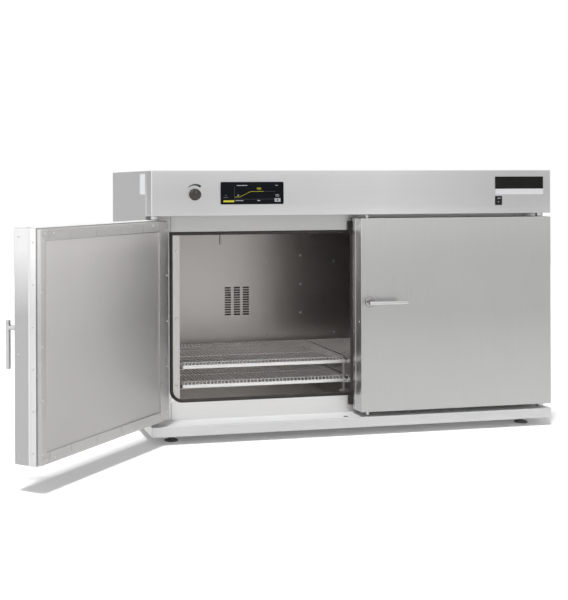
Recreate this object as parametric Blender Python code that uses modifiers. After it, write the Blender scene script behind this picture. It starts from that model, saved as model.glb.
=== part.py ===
"""Double-door forced convection oven for the bench top.

Metres, +Z up. The origin is the centre of the base tray's underside, +X points to the right
seen from the front, and +Y points into the oven. A depth is counted backwards from the front
plane, where the control panel, the closed doors and the ledge have their faces.
The left door stands open and the right door is closed.
"""

import math

import bmesh
import bpy
from mathutils import Matrix

# Overall sizes
overall_width = 1.550
body_depth = 0.815
body_height = 0.941
foot_height = 0.029
sheet = 0.0015
bend_radius = 0.001

# Clearances
seat_gap = 0.0003
running_gap = 0.0001
overrun = 0.004

# Front layout
base_height = 0.037
panel_height = 0.162
panel_return = 0.079
door_thickness = 0.096
door_to_frame = 0.007
door_gap_below = 0.017
door_gap_above = 0.014
door_centre_gap = 0.015
hinge_inset = 0.021
left_door_open_angle = math.radians(132.35)

# Chamber
side_zone = 0.125
chamber_floor = 0.109
roof_space = 0.070
rear_zone = 0.162
duct_width = 0.026
plenum_depth = 0.042
mouth_lip_below = 0.003
mouth_lip_above = 0.002
mouth_corner = 0.035
mouth_top_corner = 0.004
shell_flange = 0.0067
rear_insulation = 0.054
seam_width = 0.001
seam_depth = 0.0006

# Gasket and centre seal
gasket_width = 0.0125
gasket_thickness = 0.0061
seal_left_reach = 0.007
seal_right_reach = 0.030
seal_thickness = 0.0056
seal_tab_thickness = 0.0015
seal_end_inset = 0.012
seal_relief = 0.0022
seal_relief_margin = 0.003

# Feet
foot_inset_x = 0.085
foot_inset_y = 0.075
foot_pad_radius = 0.025
foot_pad_height = 0.009
foot_stem_radius = 0.010
foot_nut_radius = 0.017
foot_nut_height = 0.007

# Doors
shell_depth = 0.081
liner_setback = 0.004
strip_free_side = 0.030
strip_hinge_side = 0.064
strip_top = 0.038
panel_recess = 0.0018
panel_overlap = 0.008
slit_length = 0.022
slit_width = 0.0016
slit_first_share = 0.2085
slit_spacing_share = 0.187
slits_across = 4
side_slit_first_share = 0.1927
side_slit_spacing_share = 0.2025
side_slits = 4
pin_radius = 0.008
pin_neck_radius = 0.0077
pin_length = 0.024
collar_radius = 0.014
boss_radius = 0.014
boss_inner_length = 0.026
boss_outer_height = 0.002
pin_nut_radius = 0.013
pin_nut_height = 0.006

# Door handles and bolts
handle_height_share = 0.568214
handle_from_centre = 0.0425
lever_standoff = 0.050
lever_radius = 0.0075
lever_back = 0.023
lever_reach = 0.127
neck_radius = 0.008
spindle_radius = 0.005
rose_radius = 0.0195
rose_height = 0.008
bolt_depth = 0.028
bolt_radius = 0.006
bolt_travel = 0.0155
upper_bolt_inset = 0.002
lower_bolt_reach = 0.001
bolt_guide_gap = 0.0006
bolt_end_from_spindle = 0.016
keeper_radius = 0.008
lock_case_width = 0.036
lock_case_depth = 0.028
lock_case_height = 0.072
core_clearance = 0.002

# Shelves
shelf_from_mouth = 0.0195
shelf_from_baffle = 0.037
shelf_side_gap = 0.014
shelf_centre_gap = 0.0085
shelf_bar_width = 0.008
shelf_bar_height = 0.012
upper_shelf_base = 0.2175
shelf_level_spacing = 0.071
mesh_rise = 0.013
mesh_setback = 0.024
mesh_thickness = 0.003
mesh_columns = 11
mesh_rows = 3
mesh_web = 0.005
mesh_foot = 0.006
mesh_inset = 0.0004
runner_width = 0.019
runner_from_mouth = 0.0205
runner_from_baffle = 0.016
runner_bite = 0.0005
stand_rail_width = 0.034
stand_post_width = 0.005
stand_post_depth = 0.008
stand_post_inset = 0.030

# Rear baffle and air ducts
intake_x_share = 0.42923
intake_height_share = 0.49
intake_columns = 3
intake_rows = 12
intake_slot_width = 0.028
intake_slot_height = 0.005
intake_pitch_x = 0.039
intake_pitch_z = 0.0101
outlet_slot_length = 0.060
outlet_slot_height = 0.006
outlet_columns = 5
outlet_rows = 5
outlet_pitch_y_share = 0.182
outlet_pitch_z_share = 0.150
outlet_first_share = 0.302

# Fans, motors and heaters
wheel_radius = 0.088
wheel_hub_radius = 0.018
wheel_width = 0.027
wheel_front_gap = 0.005
wheel_disc = 0.002
blade_thickness = 0.002
blade_count = 10
blade_root_share = 0.8
blade_points = 4
blade_sweep = math.radians(38)
shaft_radius = 0.006
shaft_in_motor = 0.024
shaft_hole_margin = 0.004
motor_flange_radius = 0.046
motor_flange_thickness = 0.004
motor_radius = 0.040
motor_length = 0.050
motor_cap_radius = 0.034
motor_cap_length = 0.004
heater_ring_radius = 0.105
heater_tube_radius = 0.004
heater_leg_spacing = 0.030
heater_from_shell = 0.016
heater_tail = 0.014
heater_hole_radius = 0.0065

# Temperature probe
probe_x_share = 0.643
probe_depth_share = 0.54
probe_radius = 0.0035
probe_length = 0.055
probe_stub = 0.030
probe_flange_radius = 0.009
probe_flange_height = 0.003

# Exhaust duct and its damper
damper_from_side = 0.158
damper_rise = 0.077
duct_box_width = 0.084
duct_box_height = 0.125
riser_radius = 0.025
riser_from_baffle = 0.033
riser_from_duct_front = 0.060
outlet_radius = 0.030
outlet_length = 0.040
damper_disc_radius = 0.0262
damper_hub_radius = 0.008
damper_disc_thickness = 0.002
damper_disc_gap = 0.0005
damper_sector = math.radians(84)
rod_radius = 0.004
rod_hole_gap = 0.0004
knob_radius = 0.021
knob_height = 0.022
knob_skirt = 0.005
knob_edge = 0.0016
knob_crown_share = 0.78
knob_grip_share = 0.88
knob_pointer_share = 0.7
knob_pointer_width = 0.003
knob_pointer_height = 0.0012

# Display, name plate and switch
display_from_side = 0.252
display_width = 0.234
display_rise = 0.041
display_height = 0.080
display_thickness = 0.003
display_corner = 0.003
display_rim = 0.008
display_housing_depth = 0.034
display_fit = 0.0005
plate_from_side = 0.230
plate_width = 0.198
plate_rise = 0.071
plate_height = 0.067
plate_thickness = 0.0012
switch_from_side = 0.230
switch_width = 0.027
switch_rise = 0.031
switch_height = 0.034
switch_rim = 0.0025
switch_rim_height = 0.0025
switch_body_depth = 0.022
switch_pocket_depth = 0.011
rocker_gap = 0.0004
rocker_end_gap = 0.0016
rocker_pin_radius = 0.0014
rocker_pin_reach = 0.0016
rocker_pivot_depth = 0.003
rocker_proud = 0.0035
rocker_dip = 0.0022
rocker_body = 0.0052

# Rear panel
vent_slot_length = 0.120
vent_slot_height = 0.006
vent_pitch = 0.018
vent_rows = 6
vent_first_share = 0.34
gland_from_side = 0.125
gland_height = 0.120
gland_radius = 0.013
gland_flange_radius = 0.016
gland_flange_height = 0.004
gland_length = 0.022
gland_bore_radius = 0.006
gland_bore_depth = 0.016

# Facets
round_steps = 24
fine_steps = 32
small_steps = 16
corner_steps = 6
joined_turn_share = 0.21
cutter_turn_share = 0.37

# Places worked out from the sizes above
half_width = overall_width / 2
front = -body_depth / 2
panel_bottom = body_height - panel_height
door_bottom = base_height + door_gap_below
door_top = panel_bottom - door_gap_above
door_edge = door_centre_gap / 2
frame_depth = door_thickness + door_to_frame
frame_back = frame_depth + sheet
chamber_height = panel_bottom - roof_space - chamber_floor
chamber_top = chamber_floor + chamber_height
chamber_depth = body_depth - frame_depth - rear_zone
chamber_half = half_width - side_zone
mouth_half = chamber_half + duct_width
mouth_bottom = chamber_floor + mouth_lip_below
mouth_top = chamber_top - mouth_lip_above
flange_half = mouth_half + shell_flange
flange_bottom = mouth_bottom - shell_flange
flange_top = mouth_top + shell_flange
baffle_depth = frame_depth + chamber_depth
shell_back = baffle_depth + plenum_depth
insulation_back = shell_back + sheet + seat_gap + rear_insulation
inner_panel_back = insulation_back + seat_gap + sheet
casing_back = body_depth - sheet - seat_gap
inside_half = half_width - sheet - seat_gap
insulation_top = panel_bottom - sheet - 2 * seat_gap
hinge_x = half_width - hinge_inset
hinge_depth = door_thickness / 2
wheel_back = baffle_depth + sheet + wheel_front_gap + wheel_width
handle_height = door_bottom + (door_top - door_bottom) * handle_height_share
shelf_front = frame_back + shelf_from_mouth
shelf_length = baffle_depth - shelf_from_baffle - shelf_front
runner_front = frame_back + runner_from_mouth
runner_length = baffle_depth - runner_from_baffle - runner_front
door_width = half_width - door_edge
slit_first = door_width * slit_first_share
slit_spacing = door_width * slit_spacing_share
side_slit_first = (door_top - door_bottom) * side_slit_first_share
side_slit_spacing = (door_top - door_bottom) * side_slit_spacing_share
intake_x = chamber_half * intake_x_share
probe_x = -chamber_half * probe_x_share
damper_x = damper_from_side - half_width
display_left = display_from_side - half_width
plate_left = half_width - plate_from_side
switch_left = half_width - switch_from_side
gland_x = half_width - gland_from_side
vent_x = intake_x
intake_height = chamber_floor + chamber_height * intake_height_share
outlet_pitch_y = chamber_depth * outlet_pitch_y_share
outlet_pitch_z = chamber_height * outlet_pitch_z_share
outlet_first_height = chamber_floor + chamber_height * outlet_first_share
probe_depth = frame_depth + chamber_depth * probe_depth_share
damper_height = panel_bottom + damper_rise
riser_depth = baffle_depth - riser_from_baffle
duct_box_front = riser_depth - riser_from_duct_front
display_bottom = panel_bottom + display_rise
plate_bottom = panel_bottom + plate_rise
switch_bottom = panel_bottom + switch_rise
vent_first_height = body_height * vent_first_share
upper_runner = upper_shelf_base - seat_gap
lower_runner = upper_runner - shelf_level_spacing
duct_box_bottom = insulation_top + seat_gap

steel = dict(colour=(0.62, 0.62, 0.61), roughness=0.32, metallic=1.0)
FINISHES = {
    "satin_steel": steel,
    "chamber_steel": dict(colour=(0.55, 0.54, 0.52), roughness=0.28, metallic=1.0),
    "bright_steel": dict(colour=(0.75, 0.75, 0.76), roughness=0.15, metallic=1.0),
    "black_rubber": dict(colour=(0.03, 0.028, 0.026), roughness=0.7, metallic=0.0),
    "dark_plastic": dict(colour=(0.09, 0.08, 0.075), roughness=0.5, metallic=0.0),
    "black_glass": dict(colour=(0.012, 0.014, 0.018), roughness=0.08, metallic=0.0),
    "plate_black": dict(colour=(0.02, 0.02, 0.02), roughness=0.4, metallic=0.0),
    "rock_wool": dict(colour=(0.55, 0.50, 0.36), roughness=0.95, metallic=0.0),
    "motor_black": dict(colour=(0.05, 0.05, 0.055), roughness=0.55, metallic=0.2),
    "galvanised": dict(colour=(0.50, 0.52, 0.53), roughness=0.45, metallic=1.0),
}


def clear_scene():
    for item in list(bpy.data.objects):
        bpy.data.objects.remove(item, do_unlink=True)


def new_collection(name):
    collection = bpy.data.collections.new(name)
    bpy.context.scene.collection.children.link(collection)
    return collection


def y_at(depth):
    """World Y of a depth behind the front plane."""
    return front + depth


def finish_material(name):
    material = bpy.data.materials.get(name)
    if material is None:
        look = FINISHES[name]
        material = bpy.data.materials.new(name)
        material.use_nodes = True
        shader = material.node_tree.nodes["Principled BSDF"]
        shader.inputs["Base Color"].default_value = (*look["colour"], 1.0)
        shader.inputs["Roughness"].default_value = look["roughness"]
        shader.inputs["Metallic"].default_value = look["metallic"]
    return material


def add_object(name, mesh, finish):
    """Link a mesh as a sub-part, or as a cutter or helper when it has no finish."""
    obj = bpy.data.objects.new(name, mesh)
    if finish is None:
        cutters.objects.link(obj)
        obj.hide_render = True
        obj.display_type = "WIRE"
    else:
        parts.objects.link(obj)
        mesh.materials.append(finish_material(finish))
    return obj


def box(name, x, depth, z, finish=None):
    """A box between two places on each axis: x, depth behind the front plane, and height."""
    centre = ((x[0] + x[1]) / 2, y_at((depth[0] + depth[1]) / 2), (z[0] + z[1]) / 2)
    size = (x[1] - x[0], depth[1] - depth[0], z[1] - z[0])
    bm = bmesh.new()
    bmesh.ops.create_cube(bm, size=1.0, matrix=Matrix.Diagonal((*size, 1.0)))
    mesh = bpy.data.meshes.new(name)
    bm.to_mesh(mesh)
    bm.free()
    obj = add_object(name, mesh, finish)
    obj.location = centre
    return obj


def boxes(name, places):
    """One cutter made of many separate boxes, each given as x, depth and z pairs."""
    bm = bmesh.new()
    for x, depth, z in places:
        size = Matrix.Diagonal((x[1] - x[0], depth[1] - depth[0], z[1] - z[0], 1.0))
        middle = ((x[0] + x[1]) / 2, y_at((depth[0] + depth[1]) / 2), (z[0] + z[1]) / 2)
        bmesh.ops.create_cube(bm, size=1.0, matrix=Matrix.Translation(middle) @ size)
    mesh = bpy.data.meshes.new(name)
    bm.to_mesh(mesh)
    bm.free()
    return add_object(name, mesh, None)


TURNS = {
    "up": (0.0, 0.0, 0.0),
    "front": (math.pi / 2, 0.0, 0.0),
    "right": (0.0, math.pi / 2, 0.0),
}


def turned(name, profile, place, direction="up", steps=round_steps, finish=None, turn_share=0.0):
    """A turned shape. The profile runs from the top down its outer side, as radius and height.

    The facets start a share of one facet round, so that two pieces' facets don't coincide.
    """
    is_ring = profile[0] == profile[-1]
    outline = profile[:-1] if is_ring else profile
    start = math.tau / steps * turn_share
    points = [(radius * math.cos(start), radius * math.sin(start), height)
              for radius, height in outline]
    edges = [(i, i + 1) for i in range(len(points) - 1)]
    if is_ring:
        edges.append((len(points) - 1, 0))
    mesh = bpy.data.meshes.new(name)
    mesh.from_pydata(points, edges, [])
    obj = add_object(name, mesh, finish)
    obj.location = (place[0], y_at(place[1]), place[2])
    obj.rotation_euler = TURNS[direction]
    screw = obj.modifiers.new("turn", "SCREW")
    screw.axis = "Z"
    screw.angle = math.tau
    screw.steps = steps
    screw.render_steps = steps
    screw.use_merge_vertices = True
    screw.merge_threshold = 0.00002
    screw.use_smooth_shade = finish is not None
    return obj


def rod(name, radius, length, place, direction="up", steps=round_steps, finish=None,
        turn_share=joined_turn_share):
    """A plain round rod that starts at its place and runs in its direction."""
    profile = [(0.0, length), (radius, length), (radius, 0.0), (0.0, 0.0)]
    return turned(name, profile, place, direction, steps, finish, turn_share)


def drill(name, radius, x, z, depth, steps=small_steps):
    """A round cutter along the depth axis, from the first depth to the second."""
    length = depth[1] - depth[0]
    return rod(name, radius, length, (x, depth[1], z), "front", steps, None, cutter_turn_share)


def drill_down(name, radius, x, depth, z, steps=small_steps):
    """A round upright cutter between two heights."""
    return rod(name, radius, z[1] - z[0], (x, depth, z[0]), "up", steps, None, cutter_turn_share)


def welded_mesh(name, shape):
    """The closed mesh of a curve, which is removed."""
    bpy.context.view_layer.update()
    evaluated = shape.evaluated_get(bpy.context.evaluated_depsgraph_get())
    mesh = bpy.data.meshes.new_from_object(evaluated)
    mesh.name = name
    bpy.data.objects.remove(shape, do_unlink=True)
    bm = bmesh.new()
    bm.from_mesh(mesh)
    bmesh.ops.remove_doubles(bm, verts=bm.verts, dist=0.00001)
    bmesh.ops.recalc_face_normals(bm, faces=bm.faces)
    bm.to_mesh(mesh)
    bm.free()
    return mesh


def plate(name, outlines, depth, finish=None):
    """A flat piece facing the front: closed outlines of x and z, extruded between two depths."""
    curve = bpy.data.curves.new(name, "CURVE")
    curve.dimensions = "2D"
    curve.fill_mode = "BOTH"
    curve.extrude = (depth[1] - depth[0]) / 2
    for outline in outlines:
        spline = curve.splines.new("POLY")
        spline.points.add(len(outline) - 1)
        for point, (x, z) in zip(spline.points, outline):
            point.co = (x, z, 0.0, 1.0)
        spline.use_cyclic_u = True
    shape = bpy.data.objects.new(name + "_curve", curve)
    cutters.objects.link(shape)
    obj = add_object(name, welded_mesh(name, shape), finish)
    obj.location = (0.0, y_at((depth[0] + depth[1]) / 2), 0.0)
    obj.rotation_euler = TURNS["front"]
    return obj


def arc(centre, radius, start, end, steps):
    points = []
    for i in range(steps + 1):
        angle = start + (end - start) * i / steps
        points.append((centre[0] + radius * math.cos(angle), centre[1] + radius * math.sin(angle)))
    return points


def round_rectangle(x, z, bottom_radius, top_radius, steps=corner_steps):
    """Outline of a rectangle whose bottom and top corners have their own radii."""
    quarter = math.pi / 2
    low = bottom_radius
    high = top_radius
    outline = arc((x[1] - low, z[0] + low), low, -quarter, 0.0, steps)
    outline += arc((x[1] - high, z[1] - high), high, 0.0, quarter, steps)
    outline += arc((x[0] + high, z[1] - high), high, quarter, 2 * quarter, steps)
    outline += arc((x[0] + low, z[0] + low), low, 2 * quarter, 3 * quarter, steps)
    return outline


def tube(name, points, radius, finish):
    """A closed round rod bent along a list of world points."""
    curve = bpy.data.curves.new(name, "CURVE")
    curve.dimensions = "3D"
    curve.bevel_depth = radius
    curve.bevel_resolution = 2
    curve.use_fill_caps = True
    spline = curve.splines.new("POLY")
    spline.points.add(len(points) - 1)
    for point, place in zip(spline.points, points):
        point.co = (*place, 1.0)
    shape = bpy.data.objects.new(name + "_curve", curve)
    cutters.objects.link(shape)
    return add_object(name, welded_mesh(name, shape), finish)


def soften(obj, width=bend_radius, segments=2):
    bevel = obj.modifiers.new("bend", "BEVEL")
    bevel.width = width
    bevel.segments = segments
    bevel.limit_method = "ANGLE"
    return obj


def boolean(obj, others, operation):
    for other in others:
        step = obj.modifiers.new(other.name, "BOOLEAN")
        step.operation = operation
        step.solver = "EXACT"
        step.object = other
    return obj


def even_out_normals(obj):
    """Keep flat faces flat on a smooth-shaded round piece."""
    normals = obj.modifiers.new("normals", "WEIGHTED_NORMAL")
    normals.weight = 100
    return obj


def cut(obj, *others):
    return boolean(obj, others, "DIFFERENCE")


def join(obj, *others):
    return boolean(obj, others, "UNION")


def prism(name, side_points, x):
    """The mesh of a flat outline of y and z, drawn out between two places on X."""
    bm = bmesh.new()
    face = bm.faces.new([bm.verts.new((x[0], y, z)) for y, z in side_points])
    grown = bmesh.ops.extrude_face_region(bm, geom=[face])
    moved = [item for item in grown["geom"] if isinstance(item, bmesh.types.BMVert)]
    bmesh.ops.translate(bm, verts=moved, vec=(x[1] - x[0], 0.0, 0.0))
    bmesh.ops.recalc_face_normals(bm, faces=bm.faces)
    mesh = bpy.data.meshes.new(name)
    bm.to_mesh(mesh)
    bm.free()
    return mesh


def mirrored_x(span, side):
    """A span of x on the chosen side: +1 is right, -1 is left."""
    if side > 0:
        return span
    return (-span[1], -span[0])


def side_name(side):
    return "right" if side > 0 else "left"


def pivot(name, place, closed_parent=None):
    """An empty on a joint's axis. Its parent is given with the parent's place when closed."""
    empty = bpy.data.objects.new(name, None)
    bpy.context.scene.collection.objects.link(empty)
    empty.location = (place[0], y_at(place[1]), place[2])
    if closed_parent is not None:
        parent, parent_place = closed_parent
        empty.parent = parent
        empty.matrix_parent_inverse = Matrix.Translation(parent_place).inverted()
    return empty


def hang(empty, place, objects):
    """Parent pieces to a pivot, keeping where they are while the pivot is unturned."""
    inverse = Matrix.Translation((place[0], y_at(place[1]), place[2])).inverted()
    for obj in objects:
        obj.parent = empty
        obj.matrix_parent_inverse = inverse


def build_base():
    width = (-half_width, half_width)
    depth = (0.0, casing_back)
    tray = box("base_tray", width, depth, (0.0, base_height), "satin_steel")
    soften(tray)
    inside_x = (-half_width + sheet, half_width - sheet)
    hollow = box("tray_hollow", inside_x, (sheet, casing_back - sheet), (sheet, base_height - sheet))
    mouth = box("tray_mouth", inside_x, (frame_back, casing_back - sheet),
                (base_height - 2 * sheet, base_height + overrun))
    through = (base_height - sheet - overrun, base_height + overrun)
    holes = []
    for side in (-1, 1):
        holes.append(drill_down(side_name(side) + "_tray_pin_hole", pin_radius, side * hinge_x,
                                hinge_depth, through))
        holes.append(drill_down(side_name(side) + "_lower_keeper", keeper_radius,
                                side * handle_from_centre, bolt_depth, through))
    cut(tray, hollow, mouth, *holes)

    foot_profile = [
        (0.0, -seat_gap),
        (foot_nut_radius, -seat_gap),
        (foot_nut_radius, -foot_nut_height),
        (foot_stem_radius, -foot_nut_height),
        (foot_stem_radius, foot_pad_height - foot_height),
        (foot_pad_radius, foot_pad_height / 2 - foot_height),
        (foot_pad_radius, -foot_height),
        (0.0, -foot_height),
    ]
    for side in (-1, 1):
        for end, place in (("front", foot_inset_y), ("rear", body_depth - foot_inset_y)):
            x = side * (half_width - foot_inset_x)
            turned(f"foot_{end}_{side_name(side)}", foot_profile, (x, place, 0.0),
                   finish="black_rubber")


def build_casing():
    wrap = box("outer_wrap", (-half_width, half_width), (panel_return + seat_gap, casing_back),
               (base_height + seat_gap, body_height), "satin_steel")
    soften(wrap)
    inside = box("wrap_hollow", (-half_width + sheet, half_width - sheet),
                 (-overrun, body_depth + overrun), (-overrun, body_height - sheet))
    door_notch = box("wrap_door_notch", (-overall_width, overall_width),
                     (-overrun, frame_back + seat_gap), (-overrun, panel_bottom))
    cut(wrap, inside, door_notch)

    rear = box("rear_panel", (-half_width, half_width), (body_depth - sheet, body_depth),
               (0.0, body_height), "satin_steel")
    slots = []
    for side in (-1, 1):
        x = (side * vent_x - vent_slot_length / 2, side * vent_x + vent_slot_length / 2)
        for row in range(vent_rows):
            z = vent_first_height + row * vent_pitch
            slots.append((x, (body_depth - overrun, body_depth + overrun), (z, z + vent_slot_height)))
    outlet = drill("rear_outlet_hole", outlet_radius + seat_gap, damper_x, damper_height,
                   (body_depth - overrun, body_depth + overrun), round_steps)
    cut(rear, boxes("rear_vents", slots), outlet)

    gland_profile = [
        (0.0, gland_length - gland_bore_depth),
        (gland_bore_radius, gland_length - gland_bore_depth),
        (gland_bore_radius, gland_length),
        (gland_radius - gland_flange_height, gland_length),
        (gland_radius, gland_length - gland_flange_height),
        (gland_radius, gland_flange_height),
        (gland_flange_radius, gland_flange_height),
        (gland_flange_radius, 0.0),
        (0.0, 0.0),
    ]
    gland = turned("cable_gland", gland_profile, (gland_x, body_depth + seat_gap, gland_height),
                   "front", small_steps, "dark_plastic")
    gland.rotation_euler = (-math.pi / 2, 0.0, 0.0)


def build_control_panel():
    panel = box("control_panel", (-half_width, half_width), (0.0, panel_return),
                (panel_bottom, body_height), "satin_steel")
    soften(panel)
    hollow = box("panel_hollow", (-half_width + sheet, half_width - sheet),
                 (sheet, panel_return + overrun), (panel_bottom + sheet, body_height - sheet))
    face = (-overrun, sheet + overrun)
    rim = display_rim - display_fit
    display_hole = box("display_hole",
                       (display_left + rim, display_left + display_width - rim), face,
                       (display_bottom + rim, display_bottom + display_height - rim))
    switch_edge = switch_rim - display_fit
    switch_hole = box("switch_hole",
                      (switch_left + switch_edge, switch_left + switch_width - switch_edge), face,
                      (switch_bottom + switch_edge, switch_bottom + switch_height - switch_edge))
    knob_hole = drill("knob_hole", rod_radius + rod_hole_gap, damper_x, damper_height, face)
    through = (panel_bottom - overrun, panel_bottom + sheet + overrun)
    holes = []
    for side in (-1, 1):
        holes.append(drill_down(side_name(side) + "_panel_pin_hole", pin_radius, side * hinge_x,
                                hinge_depth, through))
        holes.append(drill_down(side_name(side) + "_upper_keeper", keeper_radius,
                                side * handle_from_centre, bolt_depth, through))
    cut(panel, hollow, display_hole, switch_hole, knob_hole, *holes)


def build_front_frame():
    top = insulation_top
    frame = box("front_frame", (-half_width, half_width), (frame_depth, frame_back),
                (base_height + seat_gap, top), "satin_steel")
    opening = box("frame_opening", (-flange_half - seat_gap, flange_half + seat_gap),
                  (frame_depth - overrun, frame_back + overrun),
                  (flange_bottom - seat_gap, flange_top + seat_gap))
    top_return = box("frame_top_return", (-half_width, half_width),
                     (panel_return + seat_gap, frame_back), (top - sheet, panel_bottom - seat_gap))
    seams = []
    seam_face = (frame_depth - overrun, frame_depth + seam_depth)
    for side in (-1, 1):
        seam_x = (side * flange_half - seam_width / 2, side * flange_half + seam_width / 2)
        seams.append((seam_x, seam_face, (base_height - overrun, flange_bottom)))
        seams.append((seam_x, seam_face, (flange_top, top - sheet - seam_depth)))
    join(frame, top_return)
    cut(frame, opening, boxes("frame_seams", seams))


def build_chamber():
    shell = box("chamber_shell", (-mouth_half - sheet, mouth_half + sheet),
                (frame_depth + sheet / 2, shell_back + sheet),
                (chamber_floor - sheet, chamber_top + sheet), "chamber_steel")
    flange = plate("shell_flange", [[(-flange_half, flange_bottom), (flange_half, flange_bottom),
                                     (flange_half, flange_top), (-flange_half, flange_top)]],
                   (frame_depth, frame_back))
    inside = box("shell_hollow", (-mouth_half, mouth_half), (frame_back, shell_back),
                 (chamber_floor, chamber_top))
    mouth = plate("shell_mouth", [round_rectangle((-mouth_half, mouth_half),
                                                  (mouth_bottom, mouth_top), mouth_corner,
                                                  mouth_top_corner)],
                  (frame_depth - overrun, frame_back + overrun))
    back = (shell_back - overrun, shell_back + sheet + overrun)
    roof = (chamber_top - overrun, chamber_top + sheet + overrun)
    holes = []
    for side in (-1, 1):
        name = side_name(side)
        holes.append(drill(name + "_shell_shaft_hole", shaft_radius + shaft_hole_margin,
                           side * intake_x, intake_height, back))
        for leg in (-1, 1):
            x = side * intake_x + leg * heater_leg_spacing / 2
            z = intake_height - heater_ring_radius
            holes.append(drill(f"{name}_shell_heater_hole_{leg}", heater_hole_radius, x, z, back))
    holes.append(drill_down("shell_probe_hole", probe_radius + seat_gap, probe_x, probe_depth, roof))
    holes.append(drill_down("shell_riser_hole", riser_radius + seat_gap, damper_x, riser_depth,
                            roof, round_steps))
    join(shell, flange)
    cut(shell, inside, mouth, *holes)

    wool = box("insulation_blanket", (-inside_half, inside_half),
               (frame_back + seat_gap, insulation_back), (sheet + seat_gap, insulation_top),
               "rock_wool")
    wool_hollow = box("wool_hollow", (-mouth_half - sheet - seat_gap, mouth_half + sheet + seat_gap),
                      (frame_back - overrun, shell_back + sheet + seat_gap),
                      (chamber_floor - sheet - seat_gap, chamber_top + sheet + seat_gap))
    wool_back = (shell_back - overrun, insulation_back + overrun)
    wool_roof = (chamber_top - overrun, insulation_top + overrun)
    tunnels = []
    for side in (-1, 1):
        name = side_name(side)
        tunnels.append(drill(name + "_wool_shaft_tunnel", shaft_radius + 2 * shaft_hole_margin,
                             side * intake_x, intake_height, wool_back))
        for leg in (-1, 1):
            x = side * intake_x + leg * heater_leg_spacing / 2
            z = intake_height - heater_ring_radius
            tunnels.append(drill(f"{name}_wool_heater_tunnel_{leg}", heater_hole_radius, x, z,
                                 wool_back))
    tunnels.append(drill_down("wool_probe_tunnel", probe_radius + seat_gap, probe_x, probe_depth,
                              wool_roof))
    tunnels.append(drill_down("wool_riser_tunnel", riser_radius + seat_gap, damper_x, riser_depth,
                              wool_roof, round_steps))
    cut(wool, wool_hollow, *tunnels)

    inner_back = box("inner_back_panel", (-inside_half, inside_half),
                     (insulation_back + seat_gap, inner_panel_back),
                     (sheet + seat_gap, insulation_top), "galvanised")
    through = (insulation_back - overrun, inner_panel_back + overrun)
    passes = []
    for side in (-1, 1):
        name = side_name(side)
        passes.append(drill(name + "_inner_shaft_hole", shaft_radius + shaft_hole_margin,
                            side * intake_x, intake_height, through))
        for leg in (-1, 1):
            x = side * intake_x + leg * heater_leg_spacing / 2
            z = intake_height - heater_ring_radius
            passes.append(drill(f"{name}_inner_heater_hole_{leg}",
                                heater_tube_radius + 2 * seat_gap, x, z, through))
    cut(inner_back, *passes)


def build_baffle():
    inside = chamber_half - seat_gap
    baffle = box("rear_baffle", (-inside, inside), (baffle_depth, baffle_depth + sheet),
                 (chamber_floor + seat_gap, chamber_top - seat_gap), "chamber_steel")
    slots = []
    for side in (-1, 1):
        for column in range(intake_columns):
            shift = (column - (intake_columns - 1) / 2) * intake_pitch_x
            x = side * intake_x + shift
            for row in range(intake_rows):
                z = intake_height + (row - (intake_rows - 1) / 2) * intake_pitch_z
                slots.append(((x - intake_slot_width / 2, x + intake_slot_width / 2),
                              (baffle_depth - overrun, baffle_depth + sheet + overrun),
                              (z - intake_slot_height / 2, z + intake_slot_height / 2)))
    cut(baffle, boxes("intake_slots", slots))


def build_air_duct(side):
    """Side duct: slotted wall, front flange towards the mouth, and the shelf runners on it."""
    name = side_name(side)
    z = (chamber_floor + seat_gap, chamber_top - seat_gap)
    wall = box(f"{name}_air_duct", mirrored_x((chamber_half, chamber_half + sheet), side),
               (frame_back + seat_gap, baffle_depth + sheet), z, "chamber_steel")
    flange = box(f"{name}_duct_flange", mirrored_x((chamber_half, mouth_half - seat_gap), side),
                 (frame_back + seat_gap, frame_back + seat_gap + sheet), z)
    runners = []
    for level, top in (("upper", upper_runner), ("lower", lower_runner)):
        runners.append(box(f"{name}_{level}_runner",
                           mirrored_x((chamber_half - runner_width, chamber_half + runner_bite), side),
                           (runner_front, runner_front + runner_length), (top - sheet, top)))
    slots = []
    middle = (runner_front + runner_length / 2)
    for column in range(outlet_columns):
        y = middle + (column - (outlet_columns - 1) / 2) * outlet_pitch_y
        for row in range(outlet_rows):
            low = outlet_first_height + row * outlet_pitch_z
            slots.append((mirrored_x((chamber_half - overrun, chamber_half + sheet + overrun), side),
                          (y - outlet_slot_length / 2, y + outlet_slot_length / 2),
                          (low, low + outlet_slot_height)))
    join(wall, flange, *runners)
    cut(wall, boxes(f"{name}_outlet_slots", slots))


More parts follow.
